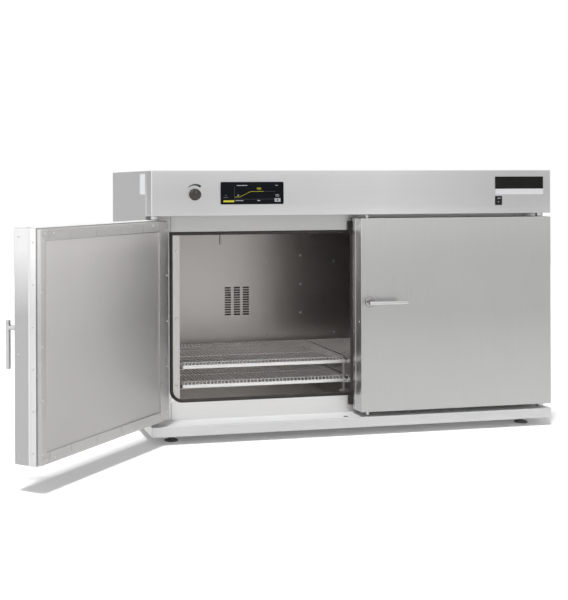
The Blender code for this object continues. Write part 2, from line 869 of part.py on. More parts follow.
def build_shelf(side, level):
    """Wire shelf: a frame of bars with the raised mesh bent down onto its front and rear bars."""
    name = f"{side_name(side)}_{level}_shelf"
    drop = 0.0 if level == "upper" else shelf_level_spacing
    base = upper_shelf_base - drop
    bar_top = base + shelf_bar_height
    span = (shelf_centre_gap, chamber_half - shelf_side_gap)
    x = mirrored_x(span, side)
    back = shelf_front + shelf_length
    frame = box(name, x, (shelf_front, back), (base, bar_top), "bright_steel")
    frame_hole = box(name + "_hole", (x[0] + shelf_bar_width, x[1] - shelf_bar_width),
                     (shelf_front + shelf_bar_width, back - shelf_bar_width),
                     (base - overrun, bar_top + overrun))

    mesh_top = bar_top + mesh_rise
    under = mesh_top - mesh_thickness
    bite = bar_top - shelf_bar_height / 2
    near = shelf_front + mesh_inset
    far = back - mesh_inset
    side_view = [
        (near, bite),
        (near, bar_top + mesh_thickness),
        (near + mesh_setback, mesh_top),
        (far - mesh_setback, mesh_top),
        (far, bar_top + mesh_thickness),
        (far, bite),
        (far - mesh_foot, bite),
        (far - mesh_foot, bar_top + mesh_inset),
        (far - mesh_setback - mesh_thickness, under),
        (near + mesh_setback + mesh_thickness, under),
        (near + mesh_foot, bar_top + mesh_inset),
        (near + mesh_foot, bite),
    ]
    side_points = [(y_at(depth), z) for depth, z in side_view]
    wires = add_object(name + "_mesh",
                       prism(name + "_mesh", side_points, (x[0] + mesh_inset, x[1] - mesh_inset)),
                       None)

    gaps = []
    clear = x[1] - x[0] - mesh_web
    column_pitch = clear / mesh_columns
    first = shelf_front + shelf_bar_width + mesh_web
    row_pitch = (back - shelf_bar_width - first) / mesh_rows
    for column in range(mesh_columns):
        left = x[0] + mesh_web + column * column_pitch
        for row in range(mesh_rows):
            near_end = first + row * row_pitch
            gaps.append(((left, left + column_pitch - mesh_web),
                         (near_end, near_end + row_pitch - mesh_web),
                         (bar_top - overrun / 2, mesh_top + overrun)))
    cut(frame, frame_hole)
    join(frame, wires)
    cut(frame, boxes(name + "_gaps", gaps))
    return frame


def build_shelf_stand():
    """Centre stand on the chamber floor that carries the inner edges of all the shelves."""
    half = stand_rail_width / 2
    back = runner_front + runner_length
    stand = box("centre_shelf_stand", (-half, half), (runner_front, back),
                (upper_runner - sheet, upper_runner), "chamber_steel")
    lower_rail = box("stand_lower_rail", (-half, half), (runner_front, back),
                     (lower_runner - sheet, lower_runner))
    posts = []
    for label, place in (("front", runner_front + stand_post_inset),
                         ("rear", back - stand_post_inset - stand_post_depth)):
        post_depth = (place, place + stand_post_depth)
        posts.append(box(f"stand_{label}_post", (-stand_post_width / 2, stand_post_width / 2),
                         post_depth, (chamber_floor + seat_gap, upper_runner - sheet / 2)))
        posts.append(box(f"stand_{label}_pad", (-half, half), post_depth,
                         (chamber_floor + seat_gap, chamber_floor + seat_gap + 2 * sheet)))
    join(stand, lower_rail, *posts)


def build_gasket():
    outer = round_rectangle((-mouth_half - gasket_width, mouth_half + gasket_width),
                            (mouth_bottom - gasket_width, mouth_top + gasket_width),
                            mouth_corner + gasket_width, mouth_top_corner + gasket_width / 2)
    inner = round_rectangle((-mouth_half, mouth_half), (mouth_bottom, mouth_top), mouth_corner,
                            mouth_top_corner)
    ring = plate("chamber_gasket", [outer, inner],
                 (frame_depth - seat_gap - gasket_thickness, frame_depth - seat_gap),
                 "black_rubber")
    relief_x = (-seal_left_reach - seal_relief_margin, seal_right_reach + seal_relief_margin)
    relief_depth = (door_thickness - overrun, door_thickness + seal_relief)
    reliefs = [
        (relief_x, relief_depth, (mouth_bottom - gasket_width - overrun, mouth_bottom + overrun)),
        (relief_x, relief_depth, (mouth_top - overrun, mouth_top + gasket_width + overrun)),
    ]
    cut(ring, boxes("gasket_reliefs", reliefs))


def build_hinge_pins():
    """Each pin is nutted through the ledge or the panel's floor and has a collar and a journal."""
    upper = [
        (0.0, sheet + seat_gap + pin_nut_height),
        (pin_nut_radius, sheet + seat_gap + pin_nut_height),
        (pin_nut_radius, sheet + seat_gap),
        (pin_neck_radius, sheet + seat_gap),
        (pin_neck_radius, -seat_gap),
        (collar_radius, -seat_gap),
        (collar_radius, boss_outer_height + seat_gap - door_gap_above),
        (pin_radius, boss_outer_height + seat_gap - door_gap_above),
        (pin_radius, -door_gap_above - pin_length),
        (0.0, -door_gap_above - pin_length),
    ]
    lower = [
        (0.0, door_gap_below + pin_length),
        (pin_radius, door_gap_below + pin_length),
        (pin_radius, door_gap_below - boss_outer_height - seat_gap),
        (collar_radius, door_gap_below - boss_outer_height - seat_gap),
        (collar_radius, seat_gap),
        (pin_neck_radius, seat_gap),
        (pin_neck_radius, -sheet - seat_gap),
        (pin_nut_radius, -sheet - seat_gap),
        (pin_nut_radius, -sheet - seat_gap - pin_nut_height),
        (0.0, -sheet - seat_gap - pin_nut_height),
    ]
    for side in (-1, 1):
        name = side_name(side)
        turned(f"{name}_upper_hinge_pin", upper, (side * hinge_x, hinge_depth, panel_bottom),
               finish="bright_steel")
        turned(f"{name}_lower_hinge_pin", lower, (side * hinge_x, hinge_depth, base_height),
               finish="bright_steel")


def wheel_outline():
    """Backward-curved blades that start inside the hub, as one closed outline."""
    outline = []
    blade_angle = math.tau / blade_count
    tip = wheel_radius - blade_thickness
    root = wheel_hub_radius * blade_root_share
    for blade in range(blade_count):
        start = blade * blade_angle
        flanks = []
        for step in range(blade_points + 1):
            share = step / blade_points
            radius = root + (tip - root) * share
            angle = start - blade_sweep * share
            half = blade_thickness / 2 / radius
            flanks.append((radius, angle, half))
        outline += [(r * math.cos(a - h), r * math.sin(a - h)) for r, a, h in flanks]
        outline += [(r * math.cos(a + h), r * math.sin(a + h)) for r, a, h in reversed(flanks)]
    return outline


def build_fan(side):
    name = side_name(side)
    x = side * intake_x
    hub_front = baffle_depth + sheet + wheel_front_gap
    blades = plate(name + "_blades", [[(x + u, intake_height + v) for u, v in wheel_outline()]],
                   (hub_front + wheel_disc / 2, wheel_back - wheel_disc / 2))
    shaft_end = inner_panel_back + seat_gap + shaft_in_motor
    profile = [
        (0.0, wheel_width),
        (wheel_hub_radius, wheel_width),
        (wheel_hub_radius, wheel_disc),
        (wheel_radius, wheel_disc),
        (wheel_radius, 0.0),
        (shaft_radius, 0.0),
        (shaft_radius, wheel_back - shaft_end),
        (0.0, wheel_back - shaft_end),
    ]
    axis_place = (x, wheel_back, intake_height)
    wheel = turned(f"{name}_fan_wheel", profile, axis_place, "front", fine_steps, "galvanised")
    join(wheel, blades)
    spin = pivot(name + "_fan_axis", axis_place)
    hang(spin, axis_place, (wheel, blades))

    motor_profile = [
        (0.0, -shaft_in_motor - running_gap),
        (shaft_radius + running_gap, -shaft_in_motor - running_gap),
        (shaft_radius + running_gap, 0.0),
        (motor_flange_radius, 0.0),
        (motor_flange_radius, -motor_flange_thickness),
        (motor_radius, -motor_flange_thickness),
        (motor_radius, -motor_length),
        (motor_cap_radius, -motor_length - motor_cap_length),
        (0.0, -motor_length - motor_cap_length),
    ]
    turned(f"{name}_fan_motor", motor_profile,
           (x, inner_panel_back + seat_gap, intake_height), "front", round_steps, "motor_black")


def build_heater(side):
    """Tubular ring round the fan wheel, its two legs passing out through the back."""
    x = side * intake_x
    ring_depth = shell_back - heater_from_shell
    tail = y_at(inner_panel_back + heater_tail)
    half_gap = math.asin(heater_leg_spacing / 2 / heater_ring_radius)
    low = -math.pi / 2
    route = []
    for turn in range(round_steps + 1):
        angle = low + half_gap + (math.tau - 2 * half_gap) * turn / round_steps
        route.append((x + heater_ring_radius * math.cos(angle), y_at(ring_depth),
                      intake_height + heater_ring_radius * math.sin(angle)))
    leg_z = intake_height - heater_ring_radius
    right_leg = x + heater_leg_spacing / 2
    left_leg = x - heater_leg_spacing / 2
    bend = y_at(ring_depth + 2 * heater_tube_radius)
    points = [(right_leg, tail, leg_z), (right_leg, bend, leg_z)]
    points += route
    points += [(left_leg, bend, leg_z), (left_leg, tail, leg_z)]
    tube(f"{side_name(side)}_heater", points, heater_tube_radius, "galvanised")


def build_probe():
    profile = [
        (0.0, probe_stub),
        (probe_radius, probe_stub),
        (probe_radius, -seat_gap),
        (probe_flange_radius, -seat_gap),
        (probe_flange_radius, -seat_gap - probe_flange_height),
        (probe_radius, -seat_gap - probe_flange_height),
        (probe_radius, probe_radius - probe_length),
        (probe_radius * math.cos(math.pi / 4),
         probe_radius * (1 - math.cos(math.pi / 4)) - probe_length),
        (0.0, -probe_length),
    ]
    turned("temperature_probe", profile, (probe_x, probe_depth, chamber_top), steps=small_steps,
           finish="chamber_steel")


def sector_outline(inner, outer, middle, width, steps=corner_steps):
    points = arc((damper_x, damper_height), outer, middle - width / 2, middle + width / 2, steps)
    points += arc((damper_x, damper_height), inner, middle + width / 2, middle - width / 2, steps)
    return points


def build_exhaust():
    """Duct from the chamber roof to the rear outlet, with two quarter openings in its rear wall."""
    back = casing_back
    x = (damper_x - duct_box_width / 2, damper_x + duct_box_width / 2)
    z = (duct_box_bottom, duct_box_bottom + duct_box_height)
    duct = box("exhaust_duct", x, (duct_box_front, back), z, "galvanised")
    hollow = box("duct_hollow", (x[0] + sheet, x[1] - sheet),
                 (duct_box_front + sheet, back - sheet), (z[0] + sheet, z[1] - sheet))
    riser = rod("duct_riser", riser_radius, duct_box_bottom + sheet - chamber_top,
                (damper_x, riser_depth, chamber_top), "up")
    riser_bore = drill_down("duct_riser_bore", riser_radius - sheet, damper_x, riser_depth,
                            (chamber_top - overrun, duct_box_bottom + sheet + overrun), round_steps)
    outlet_end = body_depth + outlet_length
    outlet = rod("duct_outlet", outlet_radius, outlet_end - back + sheet / 2,
                 (damper_x, outlet_end, damper_height), "front")
    outlet_bore = drill("duct_outlet_bore", outlet_radius - sheet, damper_x, damper_height,
                        (back, outlet_end + overrun), round_steps)
    openings = []
    for index, middle in enumerate((math.pi / 4, math.pi * 5 / 4)):
        outline = sector_outline(damper_hub_radius, damper_disc_radius - sheet, middle,
                                 damper_sector - math.radians(8))
        openings.append(plate(f"duct_sector_{index}", [outline], (back - sheet - overrun / 2,
                                                                   back + overrun / 2)))
    rod_hole = drill("duct_rod_hole", rod_radius + running_gap, damper_x, damper_height,
                     (duct_box_front - overrun, duct_box_front + sheet + overrun))
    join(duct, riser, outlet)
    cut(duct, hollow, riser_bore, outlet_bore, rod_hole, *openings)


def build_knob():
    """Knob, long rod and rotary shutter turn as one piece about an axis along the depth."""
    place = (damper_x, 0.0, damper_height)
    proud = seat_gap
    disc_back = casing_back - sheet - damper_disc_gap
    disc_depth = (disc_back - damper_disc_thickness, disc_back)
    hub_front = disc_back - 2 * damper_disc_thickness
    profile = [
        (0.0, proud + knob_height),
        (knob_radius * knob_crown_share, proud + knob_height),
        (knob_radius * knob_grip_share, proud + knob_height - knob_edge),
        (knob_radius * knob_grip_share, proud + knob_skirt),
        (knob_radius, proud + knob_skirt - knob_edge),
        (knob_radius, proud),
        (rod_radius, proud),
        (rod_radius, -hub_front),
        (damper_hub_radius, -hub_front),
        (damper_hub_radius, -disc_back - seat_gap),
        (0.0, -disc_back - seat_gap),
    ]
    knob = turned("exhaust_knob", profile, place, "front", fine_steps, "dark_plastic")
    blades = []
    for index, middle in enumerate((math.pi * 3 / 4, math.pi * 7 / 4)):
        outline = sector_outline(rod_radius / 2, damper_disc_radius, middle, damper_sector)
        blades.append(plate(f"damper_blade_{index}", [outline], disc_depth))
    pointer = box("knob_pointer", (damper_x - knob_pointer_width / 2,
                                   damper_x + knob_pointer_width / 2),
                  (-proud - knob_height - knob_pointer_height, -proud - knob_height / 2),
                  (damper_height, damper_height + knob_radius * knob_pointer_share))
    join(knob, *blades, pointer)
    axis = pivot("exhaust_knob_axis", place)
    hang(axis, place, (knob, *blades, pointer))


def build_display():
    x = (display_left, display_left + display_width)
    z = (display_bottom, display_bottom + display_height)
    plate("display_screen", [round_rectangle(x, z, display_corner, display_corner, 3)],
          (-display_thickness - seat_gap, -seat_gap), "black_glass")
    box("display_housing", (x[0] + display_rim, x[1] - display_rim), (0.0, display_housing_depth),
        (z[0] + display_rim, z[1] - display_rim), "dark_plastic")


def build_name_plate():
    x = (plate_left, plate_left + plate_width)
    z = (plate_bottom, plate_bottom + plate_height)
    plate("name_plate", [round_rectangle(x, z, display_corner / 2, display_corner / 2, 2)],
          (-plate_thickness - seat_gap, -seat_gap), "plate_black")


def build_switch():
    x = (switch_left, switch_left + switch_width)
    z = (switch_bottom, switch_bottom + switch_height)
    centre_x = (x[0] + x[1]) / 2
    centre_z = (z[0] + z[1]) / 2
    rim_depth = (-switch_rim_height - seat_gap, -seat_gap)
    frame = box("power_switch_frame", x, rim_depth, z, "dark_plastic")
    body = box("switch_body", (x[0] + switch_rim, x[1] - switch_rim),
               (-switch_rim_height, switch_body_depth), (z[0] + switch_rim, z[1] - switch_rim))
    pocket_x = (x[0] + 2 * switch_rim, x[1] - 2 * switch_rim)
    pocket_z = (z[0] + 2 * switch_rim, z[1] - 2 * switch_rim)
    pocket = box("switch_pocket", pocket_x, (-switch_rim_height - overrun, switch_pocket_depth),
                 pocket_z)
    pin_half = (pocket_x[1] - pocket_x[0]) / 2 + rocker_pin_reach
    pin_place = (centre_x - pin_half, rocker_pivot_depth, centre_z)
    pin_hole = rod("switch_pin_hole", rocker_pin_radius + running_gap, 2 * pin_half, pin_place,
                   "right", small_steps)
    join(frame, body)
    cut(frame, pocket, pin_hole)

    reach = (pocket_z[1] - pocket_z[0]) / 2 - rocker_end_gap
    pivot_y = y_at(rocker_pivot_depth)
    lip = y_at(-switch_rim_height)
    side_points = [
        (lip - rocker_proud, centre_z + reach),
        (lip + rocker_dip, centre_z),
        (lip, centre_z - reach),
        (pivot_y + rocker_body / 2, centre_z - reach),
        (pivot_y + rocker_body, centre_z),
        (pivot_y + rocker_body / 2, centre_z + reach),
    ]
    rocker_x = (pocket_x[0] + rocker_gap, pocket_x[1] - rocker_gap)
    rocker = add_object("power_switch_rocker", prism("power_switch_rocker", side_points, rocker_x),
                        "dark_plastic")
    pin = rod("rocker_pin", rocker_pin_radius, 2 * pin_half - 2 * running_gap,
              (centre_x - pin_half + running_gap, rocker_pivot_depth, centre_z), "right",
              small_steps)
    join(rocker, pin)
    axis_place = (centre_x, rocker_pivot_depth, centre_z)
    axis = pivot("power_switch_axis", axis_place)
    hang(axis, axis_place, (rocker, pin))


def door_x(side, from_edge):
    """World x of a place counted from the closed door's free edge towards its hinge side."""
    return side * (door_edge + from_edge)


def door_span(side, near, far):
    """World x span of two places counted from the closed door's free edge."""
    return mirrored_x((door_edge + near, door_edge + far), side)


def build_door_shell(side, name):
    """Folded outer tray of the door with its hinge bosses, open at the back."""
    width = door_width
    shell = box(f"{name}_door_shell", door_span(side, 0.0, width), (0.0, shell_depth),
                (door_bottom, door_top), "satin_steel")
    soften(shell)
    hollow = box(name + "_shell_inside", door_span(side, sheet, width - sheet),
                 (sheet, shell_depth + overrun), (door_bottom + sheet, door_top - sheet))
    pin_x = side * hinge_x
    boss_length = boss_outer_height + boss_inner_length
    bosses = [
        rod(name + "_upper_boss", boss_radius, boss_length,
            (pin_x, hinge_depth, door_top - boss_inner_length)),
        rod(name + "_lower_boss", boss_radius, boss_length,
            (pin_x, hinge_depth, door_bottom - boss_outer_height)),
    ]
    bores = [
        drill_down(name + "_upper_bore", pin_radius + running_gap, pin_x, hinge_depth,
                   (door_top - boss_inner_length - overrun, door_top + boss_outer_height + overrun),
                   round_steps),
        drill_down(name + "_lower_bore", pin_radius + running_gap, pin_x, hinge_depth,
                   (door_bottom - boss_outer_height - overrun,
                    door_bottom + boss_inner_length + overrun), round_steps),
    ]
    bolt_x = side * handle_from_centre
    guide = bolt_radius + bolt_guide_gap
    guides = [
        drill_down(name + "_upper_guide", guide, bolt_x, bolt_depth,
                   (door_top - sheet - overrun, door_top + overrun)),
        drill_down(name + "_lower_guide", guide, bolt_x, bolt_depth,
                   (door_bottom - overrun, door_bottom + sheet + overrun)),
    ]
    spindle_hole = drill(name + "_spindle_hole", spindle_radius + 2 * seat_gap, bolt_x,
                         handle_height, (-overrun, sheet + overrun))
    cut(shell, hollow)
    join(shell, *bosses)
    cut(shell, *bores, *guides, spindle_hole)
    return [shell, hollow, *bosses, *bores, *guides, spindle_hole]


def build_door_core(side, name):
    """Insulation that fills the shell and the liner, with room for the lock, bolts and bosses."""
    width = door_width
    inset = sheet + seat_gap
    core = box(f"{name}_door_core", door_span(side, inset, width - inset),
               (inset, shell_depth - seat_gap), (door_bottom + inset, door_top - inset), "rock_wool")
    liner_inset = liner_setback + sheet + seat_gap
    panel_front = door_thickness - panel_recess - sheet
    step = box(name + "_core_step", door_span(side, liner_inset, width - liner_inset),
               (shell_depth / 2, panel_front - seat_gap),
               (door_bottom + liner_inset, door_top - liner_inset))
    bolt_x = side * handle_from_centre
    channel = drill_down(name + "_bolt_channel", bolt_radius + core_clearance, bolt_x, bolt_depth,
                         (door_bottom - overrun, door_top + overrun))
    pocket = box(name + "_lock_pocket",
                 (bolt_x - lock_case_width / 2 - seat_gap, bolt_x + lock_case_width / 2 + seat_gap),
                 (0.0, bolt_depth + lock_case_depth / 2 + seat_gap),
                 (handle_height - lock_case_height / 2 - seat_gap,
                  handle_height + lock_case_height / 2 + seat_gap))
    pin_x = side * hinge_x
    boss_space = boss_radius + seat_gap
    hinge_pockets = [
        drill_down(name + "_upper_pocket", boss_space, pin_x, hinge_depth,
                   (door_top - boss_inner_length - core_clearance, door_top), round_steps),
        drill_down(name + "_lower_pocket", boss_space, pin_x, hinge_depth,
                   (door_bottom, door_bottom + boss_inner_length + core_clearance), round_steps),
    ]
    join(core, step)
    cut(core, channel, pocket, *hinge_pockets)
    return [core, step, channel, pocket, *hinge_pockets]


def build_door_liner(side, name):
    """Inner tray of the door: a ring of strips with expansion slits, round a recessed panel."""
    width = door_width
    tray_x = door_span(side, liner_setback, width - liner_setback)
    tray_z = (door_bottom + liner_setback, door_top - liner_setback)
    liner = box(f"{name}_door_liner", tray_x, (shell_depth + seat_gap, door_thickness), tray_z,
                "satin_steel")
    soften(liner)
    inside = box(name + "_liner_inside",
                 door_span(side, liner_setback + sheet, width - liner_setback - sheet),
                 (shell_depth - overrun, door_thickness - sheet),
                 (tray_z[0] + sheet, tray_z[1] - sheet))
    window_x = door_span(side, strip_free_side, width - strip_hinge_side)
    window_z = (door_bottom + strip_top, door_top - strip_top)
    back = (shell_depth - overrun, door_thickness + overrun)
    window = box(name + "_liner_window", window_x, back, window_z)
    slit_places = []
    for slit in range(slits_across):
        x = door_span(side, slit_first + slit * slit_spacing,
                      slit_first + slit * slit_spacing + slit_width)
        slit_places.append((x, back, (window_z[1] - overrun, window_z[1] + slit_length)))
        slit_places.append((x, back, (window_z[0] - slit_length, window_z[0] + overrun)))
    for slit in range(side_slits):
        z = door_top - side_slit_first - slit * side_slit_spacing
        edge = width - strip_hinge_side
        slit_places.append((door_span(side, edge - overrun, edge + slit_length), back,
                            (z - slit_width, z)))
    slits = boxes(name + "_liner_slits", slit_places)
    cut(liner, inside, window, slits)
    sheet_back = door_thickness - panel_recess
    inner = box(f"{name}_door_inner_panel",
                (window_x[0] - panel_overlap, window_x[1] + panel_overlap),
                (sheet_back - sheet, sheet_back),
                (window_z[0] - panel_overlap, window_z[1] + panel_overlap), "satin_steel")
    return [liner, inside, window, slits, inner]


def build_lock(side, name):
    bolt_x = side * handle_from_centre
    case_z = (handle_height - lock_case_height / 2, handle_height + lock_case_height / 2)
    case = box(f"{name}_lock_case",
               (bolt_x - lock_case_width / 2, bolt_x + lock_case_width / 2),
               (bolt_depth - lock_case_depth / 2, bolt_depth + lock_case_depth / 2), case_z,
               "galvanised")
    spindle_bore = drill(name + "_spindle_bore", spindle_radius + running_gap, bolt_x,
                         handle_height, (-overrun, bolt_depth + lock_case_depth), round_steps)
    bolt_bore = drill_down(name + "_bolt_bore", bolt_radius + seat_gap, bolt_x, bolt_depth,
                           (case_z[0] - overrun, case_z[1] + overrun))
    cut(case, spindle_bore, bolt_bore)

    rose_profile = [
        (spindle_radius + 2 * seat_gap, rose_height),
        (rose_radius * 0.82, rose_height),
        (rose_radius, rose_height * 0.7),
        (rose_radius, 0.0),
        (spindle_radius + 2 * seat_gap, 0.0),
        (spindle_radius + 2 * seat_gap, rose_height),
    ]
    rose = turned(f"{name}_handle_rose", rose_profile, (bolt_x, -seat_gap, handle_height), "front",
                  fine_steps, "bright_steel")
    return [case, spindle_bore, bolt_bore, rose]


def build_bolts(side, name, extended):
    """Upper and lower bolts, drawn in when the handle hangs down, out when it lies level."""
    bolt_x = side * handle_from_centre
    shift = bolt_travel if extended else 0.0
    inner = bolt_end_from_spindle
    upper_low = handle_height + inner
    upper_top = door_top - upper_bolt_inset
    lower_top = handle_height - inner
    lower_low = door_bottom - lower_bolt_reach
    upper = rod(f"{name}_upper_bolt", bolt_radius, upper_top - upper_low,
                (bolt_x, bolt_depth, upper_low + shift), "up", small_steps, "bright_steel")
    lower = rod(f"{name}_lower_bolt", bolt_radius, lower_top - lower_low,
                (bolt_x, bolt_depth, lower_low - shift), "up", small_steps, "bright_steel")
    return [upper, lower]


def build_handle(side, name, door_pivot, door_place, hang_down):
    """Lever, neck and spindle, made level and pointing to the hinge side."""
    bolt_x = side * handle_from_centre
    neck_base = seat_gap + rose_height + seat_gap
    spindle_end = bolt_depth + lock_case_depth / 2 - running_gap
    profile = [
        (0.0, lever_standoff),
        (neck_radius, lever_standoff),
        (neck_radius, neck_base),
        (spindle_radius, neck_base),
        (spindle_radius, -spindle_end),
        (0.0, -spindle_end),
    ]
    place = (bolt_x, 0.0, handle_height)
    handle = turned(f"{name}_handle", profile, place, "front", round_steps, "bright_steel")
    length = lever_back + lever_reach
    crown = lever_radius * 0.35
    bar_profile = [
        (0.0, length),
        (lever_radius - crown, length),
        (lever_radius, length - crown),
        (lever_radius, crown),
        (lever_radius - crown, 0.0),
        (0.0, 0.0),
    ]
    bar_start = bolt_x - side * lever_back
    if side < 0:
        bar_start = bolt_x - lever_reach
    bar = turned(name + "_lever_bar", bar_profile, (bar_start, -lever_standoff, handle_height),
                 "right", round_steps)
    join(handle, bar)
    parent_place = (door_place[0], y_at(door_place[1]), door_place[2])
    axis = pivot(name + "_handle_axis", place, (door_pivot, parent_place))
    hang(axis, place, (handle, bar))
    if hang_down:
        axis.rotation_euler = (0.0, side * math.pi / 2, 0.0)


def build_door(side):
    name = side_name(side)
    place = (side * hinge_x, hinge_depth, 0.0)
    door_pivot = pivot(name + "_door_hinge_axis", place)
    is_open = side < 0
    pieces = build_door_shell(side, name)
    pieces += build_door_core(side, name)
    pieces += build_door_liner(side, name)
    pieces += build_lock(side, name)
    pieces += build_bolts(side, name, extended=not is_open)
    if side > 0:
        pieces += build_centre_seal()
    hang(door_pivot, place, pieces)
    build_handle(side, name, door_pivot, place, hang_down=is_open)
    if is_open:
        door_pivot.rotation_euler = (0.0, 0.0, -left_door_open_angle)


def build_centre_seal():
    """Rubber strip on the right door that closes the slot between the doors."""
    low = door_bottom + seal_end_inset
    high = door_top - seal_end_inset
    x = (-seal_left_reach, seal_right_reach)
    back = door_thickness + seat_gap
    seal = box("centre_seal", x, (back, back + seal_tab_thickness), (low, high), "black_rubber")
    thick = box("centre_seal_bulb", x, (back + seal_tab_thickness / 2, back + seal_thickness),
                (mouth_bottom + seal_relief_margin, mouth_top - seal_relief_margin))
    join(seal, thick)
    return [seal, thick]


clear_scene()
parts = new_collection("forced_convection_oven")
cutters = new_collection("cutters")

build_base()
build_casing()
build_control_panel()
build_front_frame()
build_chamber()
build_baffle()
for door_side in (-1, 1):
    build_air_duct(door_side)
    build_shelf(door_side, "upper")
    build_shelf(door_side, "lower")
    build_fan(door_side)
    build_heater(door_side)
build_shelf_stand()
build_gasket()
build_hinge_pins()
build_probe()
build_exhaust()
build_knob()
build_display()
build_name_plate()
build_switch()
for door_side in (-1, 1):
    build_door(door_side)
for piece in parts.objects:
    if piece.modifiers.get("turn") is not None:
        even_out_normals(piece)
bpy.context.view_layer.update()
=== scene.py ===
import math

import bmesh
import bpy
from mathutils import Matrix, Vector


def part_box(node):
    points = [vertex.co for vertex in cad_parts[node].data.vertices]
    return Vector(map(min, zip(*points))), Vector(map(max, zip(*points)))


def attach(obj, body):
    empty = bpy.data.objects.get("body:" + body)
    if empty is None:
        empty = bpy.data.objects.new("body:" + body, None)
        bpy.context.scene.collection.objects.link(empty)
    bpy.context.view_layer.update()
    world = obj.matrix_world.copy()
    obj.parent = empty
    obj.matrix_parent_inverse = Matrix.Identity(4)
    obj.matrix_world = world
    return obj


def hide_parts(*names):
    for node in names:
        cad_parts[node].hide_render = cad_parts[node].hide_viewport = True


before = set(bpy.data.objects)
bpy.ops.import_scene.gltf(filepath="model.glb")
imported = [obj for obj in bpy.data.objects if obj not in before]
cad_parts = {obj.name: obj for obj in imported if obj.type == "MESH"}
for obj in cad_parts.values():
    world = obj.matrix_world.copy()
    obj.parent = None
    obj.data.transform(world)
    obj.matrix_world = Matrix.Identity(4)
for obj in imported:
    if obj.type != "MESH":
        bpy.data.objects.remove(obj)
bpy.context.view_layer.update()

# everything is in metres; a depth is counted backwards from the front plane
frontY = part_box("control_panel")[0].y
oven = dict(halfWidth=0.775, height=0.941, casingBack=0.8132, sheet=0.0015,
            baseTop=0.037, panelBottom=0.779, panelReturn=0.079,
            frameDepth=0.103, chamberHalf=0.650, mouthHalf=0.676,
            mouthBottom=0.112, mouthTop=0.707, floorZ=0.109, roofZ=0.709,
            baffleDepth=0.653, hingeX=0.754, hingeDepth=0.048,
            boltX=0.0425, boltDepth=0.028, leverZ=0.458, openAngle=132.35)
openTurn = (Matrix.Translation((-oven["hingeX"], frontY + oven["hingeDepth"], 0))
            @ Matrix.Rotation(math.radians(-oven["openAngle"]), 4, "Z")
            @ Matrix.Translation((oven["hingeX"], -frontY - oven["hingeDepth"], 0)))


def at(x, depth, z):
    return Vector((x, frontY + depth, z))


# ---- nodes and materials ----

def newMaterial(name):
    mat = bpy.data.materials.new(name)
    mat.use_nodes = True
    nodes = mat.node_tree.nodes
    return mat, nodes, mat.node_tree.links, nodes["Principled BSDF"]


def objectPattern(nodes, links, scale=(1, 1, 1)):
    coord = nodes.new("ShaderNodeTexCoord")
    mapping = nodes.new("ShaderNodeMapping")
    mapping.inputs["Scale"].default_value = scale
    links.new(coord.outputs["Object"], mapping.inputs["Vector"])
    return mapping.outputs["Vector"]


def noise(nodes, links, vector, scale, detail=3.0, rough=0.55):
    tex = nodes.new("ShaderNodeTexNoise")
    tex.inputs["Scale"].default_value = scale
    tex.inputs["Detail"].default_value = detail
    tex.inputs["Roughness"].default_value = rough
    links.new(vector, tex.inputs["Vector"])
    return tex.outputs["Fac"]


def rangeOf(nodes, links, value, low, high, fromLow=0.3, fromHigh=0.7):
    ranger = nodes.new("ShaderNodeMapRange")
    ranger.inputs["From Min"].default_value = fromLow
    ranger.inputs["From Max"].default_value = fromHigh
    ranger.inputs["To Min"].default_value = low
    ranger.inputs["To Max"].default_value = high
    links.new(value, ranger.inputs["Value"])
    return ranger.outputs["Result"]


def mixColours(nodes, links, factor, first, second):
    mix = nodes.new("ShaderNodeMix")
    mix.data_type = "RGBA"
    mix.inputs["A"].default_value = (*first, 1)
    mix.inputs["B"].default_value = (*second, 1)
    links.new(factor, mix.inputs["Factor"])
    return mix.outputs["Result"]


def shaded(colour, share):
    return tuple(min(1.0, c * share) for c in colour)


def bumped(nodes, links, height, strength, distance):
    bump = nodes.new("ShaderNodeBump")
    bump.inputs["Strength"].default_value = strength
    bump.inputs["Distance"].default_value = distance
    links.new(height, bump.inputs["Height"])
    return bump


